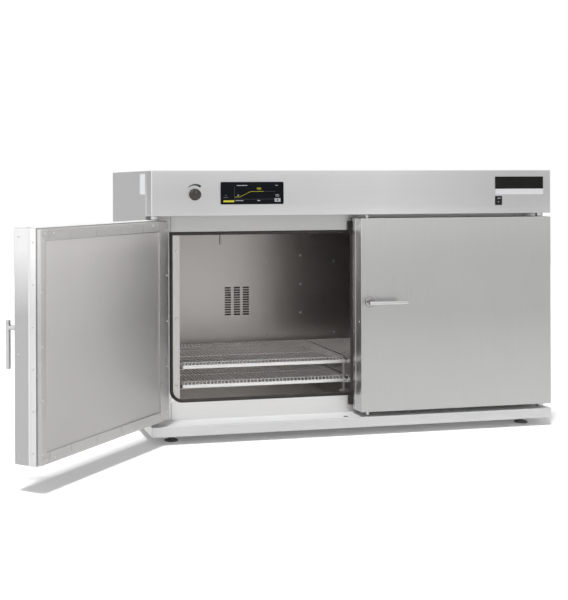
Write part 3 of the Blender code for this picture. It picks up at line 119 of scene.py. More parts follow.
# brushed or rolled stainless sheet: grain lines, slow cloudiness, a faint waviness and painted light and
# shade along axes
def steelSheet(name, colour, roughness, grain=(400, 400, 6), contrast=0.05, spread=0.06,
               wave=0.0, waveScale=3.0, grainBump=0.02, metal=1.0, paintedShading=()):
    mat, nodes, links, shader = newMaterial(name)
    fine = noise(nodes, links, objectPattern(nodes, links, grain), 1.0, 4.0, 0.65)
    cloud = noise(nodes, links, objectPattern(nodes, links), 4.0, 2.0)
    both = nodes.new("ShaderNodeMath")
    both.operation = "MULTIPLY_ADD"
    both.inputs[1].default_value = 0.45
    links.new(cloud, both.inputs[0])
    links.new(rangeOf(nodes, links, fine, 0.0, 0.55, 0.25, 0.75), both.inputs[2])
    tint = mixColours(nodes, links, both.outputs[0], shaded(colour, 1 - contrast),
                      shaded(colour, 1 + contrast))
    # painted light and shade, the colour scaled along an axis: (axis, start, end, share at the start, share
    # at the end)
    for axis, start, end, first, last in paintedShading:
        split = nodes.new("ShaderNodeSeparateXYZ")
        links.new(objectPattern(nodes, links), split.inputs[0])
        scaled = nodes.new("ShaderNodeVectorMath")
        scaled.operation = "SCALE"
        links.new(tint, scaled.inputs[0])
        links.new(rangeOf(nodes, links, split.outputs[axis], first, last, start, end),
                  scaled.inputs["Scale"])
        tint = scaled.outputs[0]
    links.new(tint, shader.inputs["Base Color"])
    links.new(rangeOf(nodes, links, both.outputs[0], roughness - spread / 2, roughness + spread / 2,
                      0.2, 0.8), shader.inputs["Roughness"])
    shader.inputs["Metallic"].default_value = metal
    bump = bumped(nodes, links, fine, grainBump, 0.0004)
    if wave > 0:
        slow = noise(nodes, links, objectPattern(nodes, links), waveScale, 1.0)
        waves = bumped(nodes, links, slow, 1.0, wave)
        links.new(waves.outputs["Normal"], bump.inputs["Normal"])
    links.new(bump.outputs["Normal"], shader.inputs["Normal"])
    return mat


# rubber and plastic: fine grain, dusty cloudiness, soft bump
def softSurface(name, colour, roughness, grainScale=900.0, contrast=0.25, bumpHeight=0.0001,
                strength=0.25, shine=0.5):
    mat, nodes, links, shader = newMaterial(name)
    vector = objectPattern(nodes, links)
    fine = noise(nodes, links, vector, grainScale, 3.0)
    cloud = noise(nodes, links, vector, 22.0, 3.0)
    tint = mixColours(nodes, links, rangeOf(nodes, links, cloud, 0, 1), shaded(colour, 1 - contrast),
                      shaded(colour, 1 + contrast))
    links.new(tint, shader.inputs["Base Color"])
    links.new(rangeOf(nodes, links, fine, roughness - 0.06, roughness + 0.06), shader.inputs["Roughness"])
    shader.inputs["Specular IOR Level"].default_value = shine
    bump = bumped(nodes, links, fine, strength, bumpHeight)
    links.new(bump.outputs["Normal"], shader.inputs["Normal"])
    return mat


# glowing screen drawings
def screenInk(name, colour, strength):
    mat, nodes, links, shader = newMaterial(name)
    flicker = noise(nodes, links, objectPattern(nodes, links), 1500.0, 1.0)
    tint = mixColours(nodes, links, rangeOf(nodes, links, flicker, 0, 1), shaded(colour, 0.9), colour)
    links.new(tint, shader.inputs["Base Color"])
    links.new(tint, shader.inputs["Emission Color"])
    shader.inputs["Emission Strength"].default_value = strength
    shader.inputs["Roughness"].default_value = 0.4
    return mat


def mineralWool(name, colour):
    mat, nodes, links, shader = newMaterial(name)
    vector = objectPattern(nodes, links, (1, 1, 3))
    fibre = noise(nodes, links, vector, 160.0, 6.0, 0.7)
    tint = mixColours(nodes, links, rangeOf(nodes, links, fibre, 0, 1), shaded(colour, 0.7),
                      shaded(colour, 1.15))
    links.new(tint, shader.inputs["Base Color"])
    shader.inputs["Roughness"].default_value = 0.95
    bump = bumped(nodes, links, fibre, 1.0, 0.002)
    links.new(bump.outputs["Normal"], shader.inputs["Normal"])
    return mat


print("materials")
casingSteel = steelSheet("casingSteel", (0.63, 0.63, 0.63), 0.34, grain=(5, 500, 500))
# painted reflection: the panel lighter in the middle and at the top, darker towards the right end
panelSteel = steelSheet("panelSteel", (0.64, 0.64, 0.64), 0.36, grain=(5, 500, 500),
                        paintedShading=(("X", -0.7, 0.1, 0.92, 1.12), ("X", 0.1, 0.6, 1.0, 0.80),
                               ("Z", 0.86, 0.935, 1.0, 1.08)))
# painted shade: a darker copy of the panel steel for its side returns
returnShadedSteel = steelSheet("returnShadedSteel", (0.55, 0.55, 0.55), 0.36, grain=(500, 5, 500))
# painted highlight: a lighter copy of the steel for bends and folded edges
bendHighlightSteel = steelSheet("bendHighlightSteel", (0.80, 0.80, 0.805), 0.40, grain=(300, 300, 8), metal=0.9)
# painted highlight: a lighter copy of the casing steel for the front band of the sides, with painted shade
# towards the top
bandHighlightSteel = steelSheet("bandHighlightSteel", (0.78, 0.78, 0.78), 0.36, grain=(500, 5, 500),
                       paintedShading=(("Z", 0.84, 0.90, 1.0, 0.82),))
# painted light: the lap strip lighter towards the top, with painted shade on the right door's strip
lapSteel = steelSheet("lapSteel", (0.74, 0.745, 0.755), 0.36, grain=(420, 420, 5),
                      paintedShading=(("X", -0.6, -0.2, 1.0, 0.72), ("Z", 0.54, 0.70, 1.0, 1.25)))
# painted light: a lighter, less metallic copy of the steel for faces that look up
topLitSteel = steelSheet("topLitSteel", (0.86, 0.865, 0.87), 0.5, grain=(5, 500, 500), metal=0.4)
# painted reflection: the door steel darker towards the bottom and lighter towards the top
doorSteel = steelSheet("doorSteel", (0.53, 0.53, 0.525), 0.30, grain=(420, 420, 5), wave=0.0004,
                       waveScale=1.6, paintedShading=(("Z", 0.08, 0.38, 1.0, 0.88), ("Z", 0.42, 0.74, 1.0, 1.30)))
# painted highlight: the free edges lighter towards the top and on the right door
edgeSteel = steelSheet("edgeSteel", (0.54, 0.54, 0.54), 0.34, grain=(420, 420, 5),
                       paintedShading=(("Z", 0.50, 0.70, 0.90, 1.6), ("X", -0.5, 0.0, 1.0, 1.25)))
# painted light: the tray lighter towards the top and darker towards the open door's free edge
linerSteel = steelSheet("linerSteel", (0.56, 0.55, 0.54), 0.42, grain=(420, 420, 8),
                        paintedShading=(("X", -1.15, -0.80, 0.95, 1.10), ("Z", 0.45, 0.72, 1.0, 1.35)))
# painted light: the inner panel darker low down, lighter towards the top and towards the hinge
innerPanelSteel = steelSheet("innerPanelSteel", (0.62, 0.605, 0.59), 0.52, grain=(420, 420, 4), spread=0.1,
                             wave=0.0004, waveScale=2.2,
                             paintedShading=(("Z", 0.12, 0.42, 0.83, 0.92), ("Z", 0.42, 0.70, 1.0, 1.26),
                                    ("X", -1.12, -0.82, 1.0, 1.16)))
# painted light: the chamber steel lighter towards the right
chamberSteel = steelSheet("chamberSteel", (0.48, 0.455, 0.435), 0.33, grain=(420, 420, 5), spread=0.08,
                          wave=0.0003, waveScale=2.5, paintedShading=(("X", -0.22, 0.15, 0.95, 1.45),))
ductSteel = steelSheet("ductSteel", (0.56, 0.545, 0.53), 0.33, grain=(420, 420, 5), spread=0.08)
# painted light: the chamber floor lighter than the walls, fading out just above it
liningSteel = steelSheet("liningSteel", (0.50, 0.475, 0.455), 0.19, grain=(420, 420, 5), wave=0.0002,
                         paintedShading=(("Z", 0.111, 0.125, 1.75, 1.0),))
# painted shade: the header under the panel and the left jamb darker
frameSteel = steelSheet("frameSteel", (0.76, 0.755, 0.75), 0.36, grain=(5, 420, 420),
                        paintedShading=(("Z", 0.60, 0.72, 1.0, 0.70), ("X", -0.70, -0.66, 0.80, 1.0)))
baseSteel = steelSheet("baseSteel", (0.70, 0.70, 0.70), 0.50, grain=(5, 500, 500))
roseSteel = steelSheet("roseSteel", (0.40, 0.39, 0.39), 0.12, grain=(300, 300, 300), contrast=0.03,
                       spread=0.04, grainBump=0.005)
polishedSteel = steelSheet("polishedSteel", (0.62, 0.62, 0.625), 0.14, grain=(300, 300, 300), contrast=0.03,
                           spread=0.04, grainBump=0.005)
wireSteel = steelSheet("wireSteel", (0.88, 0.87, 0.86), 0.24, grain=(200, 200, 200), contrast=0.04,
                       metal=0.45)
screwSteel = steelSheet("screwSteel", (0.70, 0.70, 0.69), 0.30, grain=(300, 300, 300), contrast=0.05,
                        metal=0.75)
heaterSteel = steelSheet("heaterSteel", (0.14, 0.12, 0.10), 0.45, grain=(60, 60, 60), contrast=0.2)
seamShade = steelSheet("seamShade", (0.16, 0.155, 0.15), 0.5)
zincSteel = steelSheet("zincSteel", (0.48, 0.49, 0.50), 0.42, grain=(30, 30, 30), contrast=0.18, spread=0.12)
gasketRubber = softSurface("gasketRubber", (0.036, 0.031, 0.028), 0.62)
footRubber = softSurface("footRubber", (0.13, 0.13, 0.132), 0.7)
knobPlastic = softSurface("knobPlastic", (0.045, 0.040, 0.036), 0.5, 1400.0, 0.15)
switchPlastic = softSurface("switchPlastic", (0.012, 0.012, 0.012), 0.40, 1600.0, 0.2, shine=0.3)
motorPaint = softSurface("motorPaint", (0.045, 0.045, 0.05), 0.5, 700.0, 0.2)
plateBlack = softSurface("plateBlack", (0.009, 0.0085, 0.008), 0.34, 1200.0, 0.2, 0.00003, shine=0.16)
plateSilver = steelSheet("plateSilver", (0.80, 0.80, 0.82), 0.45, grain=(5, 600, 600), contrast=0.03)
printGrey = softSurface("printGrey", (0.03, 0.03, 0.03), 0.5, 1500.0, 0.1, 0.00002)
labelWhite = softSurface("labelWhite", (0.90, 0.92, 0.94), 0.45, 1500.0, 0.03, 0.00002)
knobMark = softSurface("knobMark", (0.16, 0.155, 0.15), 0.5, 1500.0, 0.05, 0.00002)
markWhite = softSurface("markWhite", (0.75, 0.75, 0.75), 0.5, 1500.0, 0.03, 0.00002)
screenGlass = softSurface("screenGlass", (0.006, 0.007, 0.010), 0.11, 40.0, 0.1, 0.00001, 0.0, shine=0.07)
screenYellow = screenInk("screenYellow", (0.50, 0.46, 0.02), 0.3)
screenPale = screenInk("screenPale", (0.36, 0.37, 0.39), 0.22)
screenDim = screenInk("screenDim", (0.10, 0.105, 0.11), 0.2)
rockWool = mineralWool("rockWool", (0.45, 0.40, 0.26))


# ---- mesh helpers ----

def fromBmesh(name, bm, material, smoothAngle=35.0):
    bmesh.ops.recalc_face_normals(bm, faces=bm.faces)
    mesh = bpy.data.meshes.new(name)
    bm.to_mesh(mesh)
    bm.free()
    return fromMesh(name, mesh, material, smoothAngle)


def fromMesh(name, mesh, material, smoothAngle=35.0):
    obj = bpy.data.objects.new(name, mesh)
    bpy.context.scene.collection.objects.link(obj)
    if material is not None:
        mesh.materials.clear()
        mesh.materials.append(material)
    for face in mesh.polygons:
        face.use_smooth = True
    mesh.set_sharp_from_angle(angle=math.radians(smoothAngle))
    return obj


# a box with rounded edges; an open side keeps square edges
def blockMesh(low, high, radius=0.0, segments=3, squareSides=()):
    bm = bmesh.new()
    addBox(bm, low, high)
    if radius > 0:
        chosen = []
        for edge in bm.edges:
            mid = (edge.verts[0].co + edge.verts[1].co) / 2
            if not any(abs(mid[axis] - (high if end > 0 else low)[axis]) < 1e-6
                       for axis, end in squareSides):
                chosen.append(edge)
        bmesh.ops.bevel(bm, geom=chosen, offset=radius, segments=segments, profile=0.5,
                        affect="EDGES", clamp_overlap=True)
    return bm


def addBox(bm, low, high):
    size = high - low
    bmesh.ops.create_cube(bm, size=1.0, matrix=Matrix.Translation((low + high) / 2)
                          @ Matrix.Diagonal((*size, 1.0)))


def boxes(name, spans, material):
    bm = bmesh.new()
    for low, high in spans:
        addBox(bm, low, high)
    return fromBmesh(name, bm, material)


def boxCutter(spans):
    return boxes("cutter", spans, None)


# frame of vectors for a turned shape
def axesFor(direction):
    along = Vector(direction).normalized()
    side = along.orthogonal().normalized()
    return side, along.cross(side), along


# profile of (radius, height) pairs from one pole to the other; a ring profile ends where it starts
def addLathe(bm, profile, place, direction, steps=32, startTurn=0.0):
    side, other, along = axesFor(direction)
    isRing = profile[0] == profile[-1]
    pairs = profile[:-1] if isRing else profile
    rings = []
    for radius, height in pairs:
        if radius < 1e-7:
            rings.append([bm.verts.new(place + along * height)])
            continue
        ring = []
        for step in range(steps):
            angle = startTurn + math.tau * step / steps
            ring.append(bm.verts.new(place + along * height + side * radius * math.cos(angle)
                                     + other * radius * math.sin(angle)))
        rings.append(ring)
    count = len(rings)
    for index in range(count if isRing else count - 1):
        first, second = rings[index], rings[(index + 1) % count]
        for step in range(steps):
            after = (step + 1) % steps
            if len(first) == 1 and len(second) == 1:
                continue
            if len(first) == 1:
                bm.faces.new((first[0], second[step], second[after]))
            elif len(second) == 1:
                bm.faces.new((first[step], second[0], first[after]))
            else:
                bm.faces.new((first[step], second[step], second[after], first[after]))


def latheMesh(name, profile, place, direction, material, steps=32, smoothAngle=35.0):
    bm = bmesh.new()
    addLathe(bm, profile, place, direction, steps)
    return fromBmesh(name, bm, material, smoothAngle)


def roundCutter(place, direction, radius, length, steps=28):
    bm = bmesh.new()
    addLathe(bm, [(0, 0), (radius, 0), (radius, length), (0, length)], place, direction, steps, 0.07)
    return fromBmesh("cutter", bm, None)


# solid between two outlines with the same number of points
def addPrism(bm, first, second):
    near = [bm.verts.new(point) for point in first]
    far = [bm.verts.new(point) for point in second]
    bm.faces.new(near)
    bm.faces.new(list(reversed(far)))
    for index in range(len(near)):
        after = (index + 1) % len(near)
        bm.faces.new((near[after], near[index], far[index], far[after]))


# flat outline of (x, z) points facing the front, between two depths
def addPlate(bm, outline, nearDepth, farDepth):
    addPrism(bm, [at(x, nearDepth, z) for x, z in outline], [at(x, farDepth, z) for x, z in outline])


def roundedOutline(x, z, radius, steps=6, topRadius=None):
    high = radius if topRadius is None else topRadius
    corners = (((x[1] - radius, z[0] + radius), radius, -90), ((x[1] - high, z[1] - high), high, 0),
               ((x[0] + high, z[1] - high), high, 90), ((x[0] + radius, z[0] + radius), radius, 180))
    points = []
    for (cx, cz), size, start in corners:
        for step in range(steps + 1):
            angle = math.radians(start + 90 * step / steps)
            points.append((cx + size * math.cos(angle), cz + size * math.sin(angle)))
    return points


# cut or join other meshes, keep the result as a plain mesh
def carved(obj, cutters, joiners=()):
    for tool, operation in [(j, "UNION") for j in joiners] + [(c, "DIFFERENCE") for c in cutters]:
        step = obj.modifiers.new("step", "BOOLEAN")
        step.operation = operation
        step.solver = "EXACT"
        step.object = tool
    return plainMesh(obj, remove=list(cutters) + list(joiners))


def plainMesh(obj, remove=(), smoothAngle=35.0):
    bpy.context.view_layer.update()
    evaluated = obj.evaluated_get(bpy.context.evaluated_depsgraph_get())
    mesh = bpy.data.meshes.new_from_object(evaluated)
    obj.modifiers.clear()
    obj.data = mesh
    for tool in remove:
        bpy.data.objects.remove(tool, do_unlink=True)
    for face in mesh.polygons:
        face.use_smooth = True
    mesh.set_sharp_from_angle(angle=math.radians(smoothAngle))
    return obj


def joinedPieces(name, pieces):
    bm = bmesh.new()
    mats = []
    for piece in pieces:
        start = len(bm.faces)
        bm.from_mesh(piece.data)
        bm.faces.ensure_lookup_table()
        for face in bm.faces[start:]:
            own = piece.data.materials[face.material_index]
            if own not in mats:
                mats.append(own)
            face.material_index = mats.index(own)
    mesh = bpy.data.meshes.new(name)
    bm.to_mesh(mesh)
    bm.free()
    for mat in mats:
        mesh.materials.append(mat)
    obj = bpy.data.objects.new(name, mesh)
    bpy.context.scene.collection.objects.link(obj)
    for piece in pieces:
        bpy.data.objects.remove(piece, do_unlink=True)
    return obj


# a lighter or darker copy of the steel on the faces that look one way, if wanted only in front of a depth:
# painted light and shade by facing
def paintLightByFacing(obj, material, way, share=0.9, before=None):
    obj.data.materials.append(material)
    index = len(obj.data.materials) - 1
    for face in obj.data.polygons:
        near = before is None or face.center.y - frontY < before
        if near and face.normal.dot(Vector(way).normalized()) > share:
            face.material_index = index


# new edges where a plane crosses the faces
def scoredAcross(obj, place, way):
    bm = bmesh.new()
    bm.from_mesh(obj.data)
    bmesh.ops.bisect_plane(bm, geom=bm.verts[:] + bm.edges[:] + bm.faces[:], plane_co=place, plane_no=way)
    bm.to_mesh(obj.data)
    bm.free()


def placed(obj, body, nodes=(), turn=None):
    if turn is not None:
        obj.data.transform(turn)
        obj.data.update()
    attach(obj, body)
    if nodes:
        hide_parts(*nodes)
    return obj


# ---- geometry node trees ----

def newTree(name, inputs):
    tree = bpy.data.node_groups.new(name, "GeometryNodeTree")
    tree.interface.new_socket("Geometry", in_out="INPUT", socket_type="NodeSocketGeometry")
    for label, kind, value in inputs:
        socket = tree.interface.new_socket(label, in_out="INPUT", socket_type="NodeSocket" + kind)
        if value is not None:
            socket.default_value = value
    tree.interface.new_socket("Geometry", in_out="OUTPUT", socket_type="NodeSocketGeometry")
    groupIn = tree.nodes.new("NodeGroupInput")
    groupOut = tree.nodes.new("NodeGroupOutput")
    return tree, groupIn, groupOut


def addNode(tree, kind, links=(), **settings):
    node = tree.nodes.new(kind)
    for key, value in settings.items():
        setattr(node, key, value)
    for socket, source in links:
        if hasattr(source, "is_output"):
            tree.links.new(source, node.inputs[socket])
        else:
            node.inputs[socket].default_value = source
    return node


# the end of every tree: real geometry with its finish
def finished(tree, groupIn, groupOut, geometry):
    real = addNode(tree, "GeometryNodeRealizeInstances", [("Geometry", geometry)])
    paint = addNode(tree, "GeometryNodeSetMaterial", [("Geometry", real.outputs["Geometry"]),
                    ("Material", groupIn.outputs["Finish"])])
    tree.links.new(paint.outputs["Geometry"], groupOut.inputs["Geometry"])
    return tree


def setInput(modifier, tree, label, value):
    for item in tree.interface.items_tree:
        if item.item_type == "SOCKET" and item.in_out == "INPUT" and item.name == label:
            modifier[item.identifier] = value


# grown from a tree, then kept as a plain mesh
def grown(name, mesh, tree, values, smoothAngle=40.0):
    obj = bpy.data.objects.new(name, mesh)
    bpy.context.scene.collection.objects.link(obj)
    modifier = obj.modifiers.new("grow", "NODES")
    modifier.node_group = tree
    for label, value in values.items():
        setInput(modifier, tree, label, value)
    plainMesh(obj, smoothAngle=smoothAngle)
    return obj


# screws: a head on each point, its axis from an attribute, its recess turned at random
def screwTree():
    tree, groupIn, groupOut = newTree("screwRows", (
        ("Head", "Object", None), ("Diameter", "Float", 0.007), ("Seed", "Int", 3),
        ("Finish", "Material", None)))
    axis = addNode(tree, "GeometryNodeInputNamedAttribute", data_type="FLOAT_VECTOR")
    axis.inputs["Name"].default_value = "axis"
    head = addNode(tree, "GeometryNodeObjectInfo", [("Object", groupIn.outputs["Head"])])
    align = addNode(tree, "FunctionNodeAlignRotationToVector", [("Vector", axis.outputs["Attribute"])],
                    axis="Z")
    spin = addNode(tree, "FunctionNodeRandomValue", [("Max", math.tau), ("Seed", groupIn.outputs["Seed"])],
                   data_type="FLOAT")
    spinTurn = addNode(tree, "FunctionNodeAxisAngleToRotation", [("Axis", (0, 0, 1)),
                       ("Angle", spin.outputs[1])])
    turn = addNode(tree, "FunctionNodeRotateRotation", [("Rotation", align.outputs["Rotation"]),
                   ("Rotate By", spinTurn.outputs["Rotation"])], rotation_space="LOCAL")
    points = addNode(tree, "GeometryNodeMeshToPoints", [("Mesh", groupIn.outputs["Geometry"])])
    scatter = addNode(tree, "GeometryNodeInstanceOnPoints", [
        ("Points", points.outputs["Points"]), ("Instance", head.outputs["Geometry"]),
        ("Rotation", turn.outputs["Rotation"]), ("Scale", groupIn.outputs["Diameter"])])
    return finished(tree, groupIn, groupOut, scatter.outputs["Instances"])


# pan head of diameter 1 with a cross recess, standing on z = 0
def makeScrewHead():
    bm = bmesh.new()
    addLathe(bm, [(0, -0.05), (0.5, -0.05), (0.5, 0.08), (0.44, 0.2), (0.3, 0.28), (0.15, 0.305), (0, 0.31)],
             Vector((0, 0, 0)), (0, 0, 1), 14)
    head = fromBmesh("screwHead", bm, None, 50)
    bars = boxCutter([(Vector((-0.24, -0.045, 0.16)), Vector((0.24, 0.045, 0.5)))])
    cross = boxCutter([(Vector((-0.045, -0.24, 0.161)), Vector((0.045, 0.24, 0.51)))])
    carved(head, [bars, cross])
    head.hide_render = True
    return head


rowTree = screwTree()
screwHead = makeScrewHead()


def screws(name, points, body, diameter=0.007, turn=None, seed=3, finish=None):
    mesh = bpy.data.meshes.new(name)
    mesh.from_pydata([p for p, _ in points], [], [])
    axes = mesh.attributes.new("axis", "FLOAT_VECTOR", "POINT")
    axes.data.foreach_set("vector", [c for _, n in points for c in n])
    obj = grown(name, mesh, rowTree, {"Head": screwHead, "Diameter": diameter, "Seed": seed,
                                      "Finish": finish or screwSteel}, 50)
    return placed(obj, body, turn=turn)


# bent wires side by side: each is the input line, swept with a round section
def wireTree():
    tree, groupIn, groupOut = newTree("wireRows", (
        ("Count", "Int", 20), ("Start", "Vector", None), ("Pitch", "Vector", None),
        ("Radius", "Float", 0.0015), ("Bend", "Float", 0.004), ("Sides", "Int", 6),
        ("Finish", "Material", None)))
    path = addNode(tree, "GeometryNodeMeshToCurve", [("Mesh", groupIn.outputs["Geometry"])])
    bent = addNode(tree, "GeometryNodeFilletCurve", [("Curve", path.outputs["Curve"]),
                   ("Radius", groupIn.outputs["Bend"]), ("Count", 3), ("Limit Radius", True)], mode="POLY")
    section = addNode(tree, "GeometryNodeCurvePrimitiveCircle", [("Resolution", groupIn.outputs["Sides"]),
                      ("Radius", groupIn.outputs["Radius"])])
    swept = addNode(tree, "GeometryNodeCurveToMesh", [("Curve", bent.outputs["Curve"]),
                    ("Profile Curve", section.outputs["Curve"]), ("Fill Caps", True)])
    row = addNode(tree, "GeometryNodeMeshLine", [("Count", groupIn.outputs["Count"]),
                  ("Start Location", groupIn.outputs["Start"]), ("Offset", groupIn.outputs["Pitch"])],
                  mode="OFFSET")
    scatter = addNode(tree, "GeometryNodeInstanceOnPoints", [("Points", row.outputs["Mesh"]),
                      ("Instance", swept.outputs["Mesh"])])
    return finished(tree, groupIn, groupOut, scatter.outputs["Instances"])


# sheet with a grid of slots cut through it
def slotTree():
    tree, groupIn, groupOut = newTree("slotGrid", (
        ("Slot", "Object", None), ("Columns", "Int", 3), ("Rows", "Int", 12), ("PitchX", "Float", 0.039),
        ("PitchZ", "Float", 0.01), ("Centre", "Vector", None), ("Finish", "Material", None)))
    wide = addNode(tree, "ShaderNodeMath", [(0, groupIn.outputs["Columns"]), (1, 1.0)], operation="SUBTRACT")
    high = addNode(tree, "ShaderNodeMath", [(0, groupIn.outputs["Rows"]), (1, 1.0)], operation="SUBTRACT")
    sizeX = addNode(tree, "ShaderNodeMath", [(0, wide.outputs[0]), (1, groupIn.outputs["PitchX"])],
                    operation="MULTIPLY")
    sizeZ = addNode(tree, "ShaderNodeMath", [(0, high.outputs[0]), (1, groupIn.outputs["PitchZ"])],
                    operation="MULTIPLY")
    grid = addNode(tree, "GeometryNodeMeshGrid", [("Size X", sizeX.outputs[0]), ("Size Y", sizeZ.outputs[0]),
                   ("Vertices X", groupIn.outputs["Columns"]), ("Vertices Y", groupIn.outputs["Rows"])])
    upright = addNode(tree, "GeometryNodeTransform", [("Geometry", grid.outputs["Mesh"]),
                      ("Translation", groupIn.outputs["Centre"]), ("Rotation", (math.pi / 2, 0, 0))])
    slot = addNode(tree, "GeometryNodeObjectInfo", [("Object", groupIn.outputs["Slot"])])
    scatter = addNode(tree, "GeometryNodeInstanceOnPoints", [("Points", upright.outputs["Geometry"]),
                      ("Instance", slot.outputs["Geometry"])])
    cutters = addNode(tree, "GeometryNodeRealizeInstances", [("Geometry", scatter.outputs["Instances"])])
    pierced = addNode(tree, "GeometryNodeMeshBoolean", operation="DIFFERENCE", solver="EXACT")
    tree.links.new(groupIn.outputs["Geometry"], pierced.inputs["Mesh 1"])
    tree.links.new(cutters.outputs["Geometry"], pierced.inputs["Mesh 2"])
    return finished(tree, groupIn, groupOut, pierced.outputs["Mesh"])


# pressed hoods over the slots of the rear panel
def hoodTree():
    tree, groupIn, groupOut = newTree("louvreRows", (
        ("Hood", "Object", None), ("Rows", "Int", 6), ("Pitch", "Float", 0.018), ("Start", "Vector", None),
        ("Finish", "Material", None)))
    step = addNode(tree, "ShaderNodeCombineXYZ", [("Z", groupIn.outputs["Pitch"])])
    row = addNode(tree, "GeometryNodeMeshLine", [("Count", groupIn.outputs["Rows"]),
                  ("Start Location", groupIn.outputs["Start"]), ("Offset", step.outputs[0])], mode="OFFSET")
    hood = addNode(tree, "GeometryNodeObjectInfo", [("Object", groupIn.outputs["Hood"])])
    scatter = addNode(tree, "GeometryNodeInstanceOnPoints", [("Points", row.outputs["Mesh"]),
                      ("Instance", hood.outputs["Geometry"])])
    return finished(tree, groupIn, groupOut, scatter.outputs["Instances"])


# ---- cabinet ----

print("casing")
casing = dict(bend=0.003, seam=0.0012, hem=0.0011, highlightBand=0.108)


def makeCasing():
    w, s, b = oven["halfWidth"], oven["sheet"], casing["bend"]
    near, far = oven["panelReturn"] + casing["seam"], oven["casingBack"]
    bottom, top = oven["baseTop"] + casing["seam"], oven["height"]
    bm = blockMesh(at(-w, near, bottom), at(w, far, top), b, 4, ((1, -1), (1, 1), (2, -1)))
    front = [e for e in bm.edges if all(abs(v.co.y - frontY - near) < 1e-6 for v in e.verts)]
    bmesh.ops.bevel(bm, geom=front, offset=casing["hem"], segments=3, profile=0.5, affect="EDGES")
    wrap = fromBmesh("outerCasing", bm, casingSteel)
    inner = fromBmesh("cutter", blockMesh(at(-w + s, near - 0.01, bottom - 0.01),
                                          at(w - s, far + 0.01, top - s), b - s, 3,
                                          ((1, -1), (1, 1), (2, -1))), None)
    notch = boxCutter([(at(-w - 0.01, near - 0.01, 0), at(w + 0.01, oven["frameDepth"] + 0.0018,
                                                         oven["panelBottom"]))])
    carved(wrap, [inner, notch])
    scoredAcross(wrap, at(0, casing["highlightBand"], 0), (0, 1, 0))
    # painted highlight on the front band of the sides
    for side in (-1, 1):
        paintLightByFacing(wrap, bandHighlightSteel, (side, 0, 0), before=casing["highlightBand"])
    placed(wrap, "cabinet", ("outer_wrap",))
    rows = []
    for side in (-1, 1):
        for share in (0.06, 0.2, 0.34, 0.48, 0.62, 0.76, 0.9):
            depth = near + 0.05 + (far - near - 0.06) * share
            rows.append((at(side * w, depth, bottom + 0.018), (side, 0, 0)))
    screws("casingScrews", rows, "cabinet", diameter=0.008)


makeCasing()

print("control panel")
panel = dict(bend=0.0030, displayX=(-0.523, -0.289), displayZ=(0.820, 0.900), knobX=-0.617, knobZ=0.856,
             switchX=(0.545, 0.572), switchZ=(0.810, 0.844), plateX=(0.545, 0.743), plateZ=(0.850, 0.917),
             plateSplit=0.871)


def makeControlPanel():
    w, s, b = oven["halfWidth"], oven["sheet"], panel["bend"]
    low, high = oven["panelBottom"], oven["height"]
    bm = blockMesh(at(-w, 0, low), at(w, oven["panelReturn"], high), b, 4, ((1, 1),))
    body = fromBmesh("controlPanel", bm, panelSteel)
    inner = boxCutter([(at(-w + s, s, low + s), at(w - s, oven["panelReturn"] + 0.01, high - s))])
    face = 0.01
    holes = [inner,
             boxCutter([(at(panel["displayX"][0] + 0.0075, -face, panel["displayZ"][0] + 0.0075),
                         at(panel["displayX"][1] - 0.0075, face, panel["displayZ"][1] - 0.0075))]),
             boxCutter([(at(panel["switchX"][0] + 0.002, -face, panel["switchZ"][0] + 0.002),
                         at(panel["switchX"][1] - 0.002, face, panel["switchZ"][1] - 0.002))]),
             roundCutter(at(panel["knobX"], -face, panel["knobZ"]), (0, 1, 0), 0.0044, 2 * face)]
    for side in (-1, 1):
        for x, depth in ((oven["hingeX"], oven["hingeDepth"]), (oven["boltX"], oven["boltDepth"])):
            holes.append(roundCutter(at(side * x, depth, low - 0.004), (0, 0, 1), 0.008, 0.01))
    carved(body, holes)
    # painted highlight on the front bends and painted shade on the side returns
    for side in (-1, 1):
        paintLightByFacing(body, bendHighlightSteel, (side, -1, 0), 0.75)
        paintLightByFacing(body, returnShadedSteel, (side, 0, 0), 0.97)
    placed(body, "cabinet", ("control_panel",))


makeControlPanel()


knob = dict(radius=0.021, height=0.0222, grip=0.0186, skirt=0.0045, flutes=36, fluteDepth=0.0005)


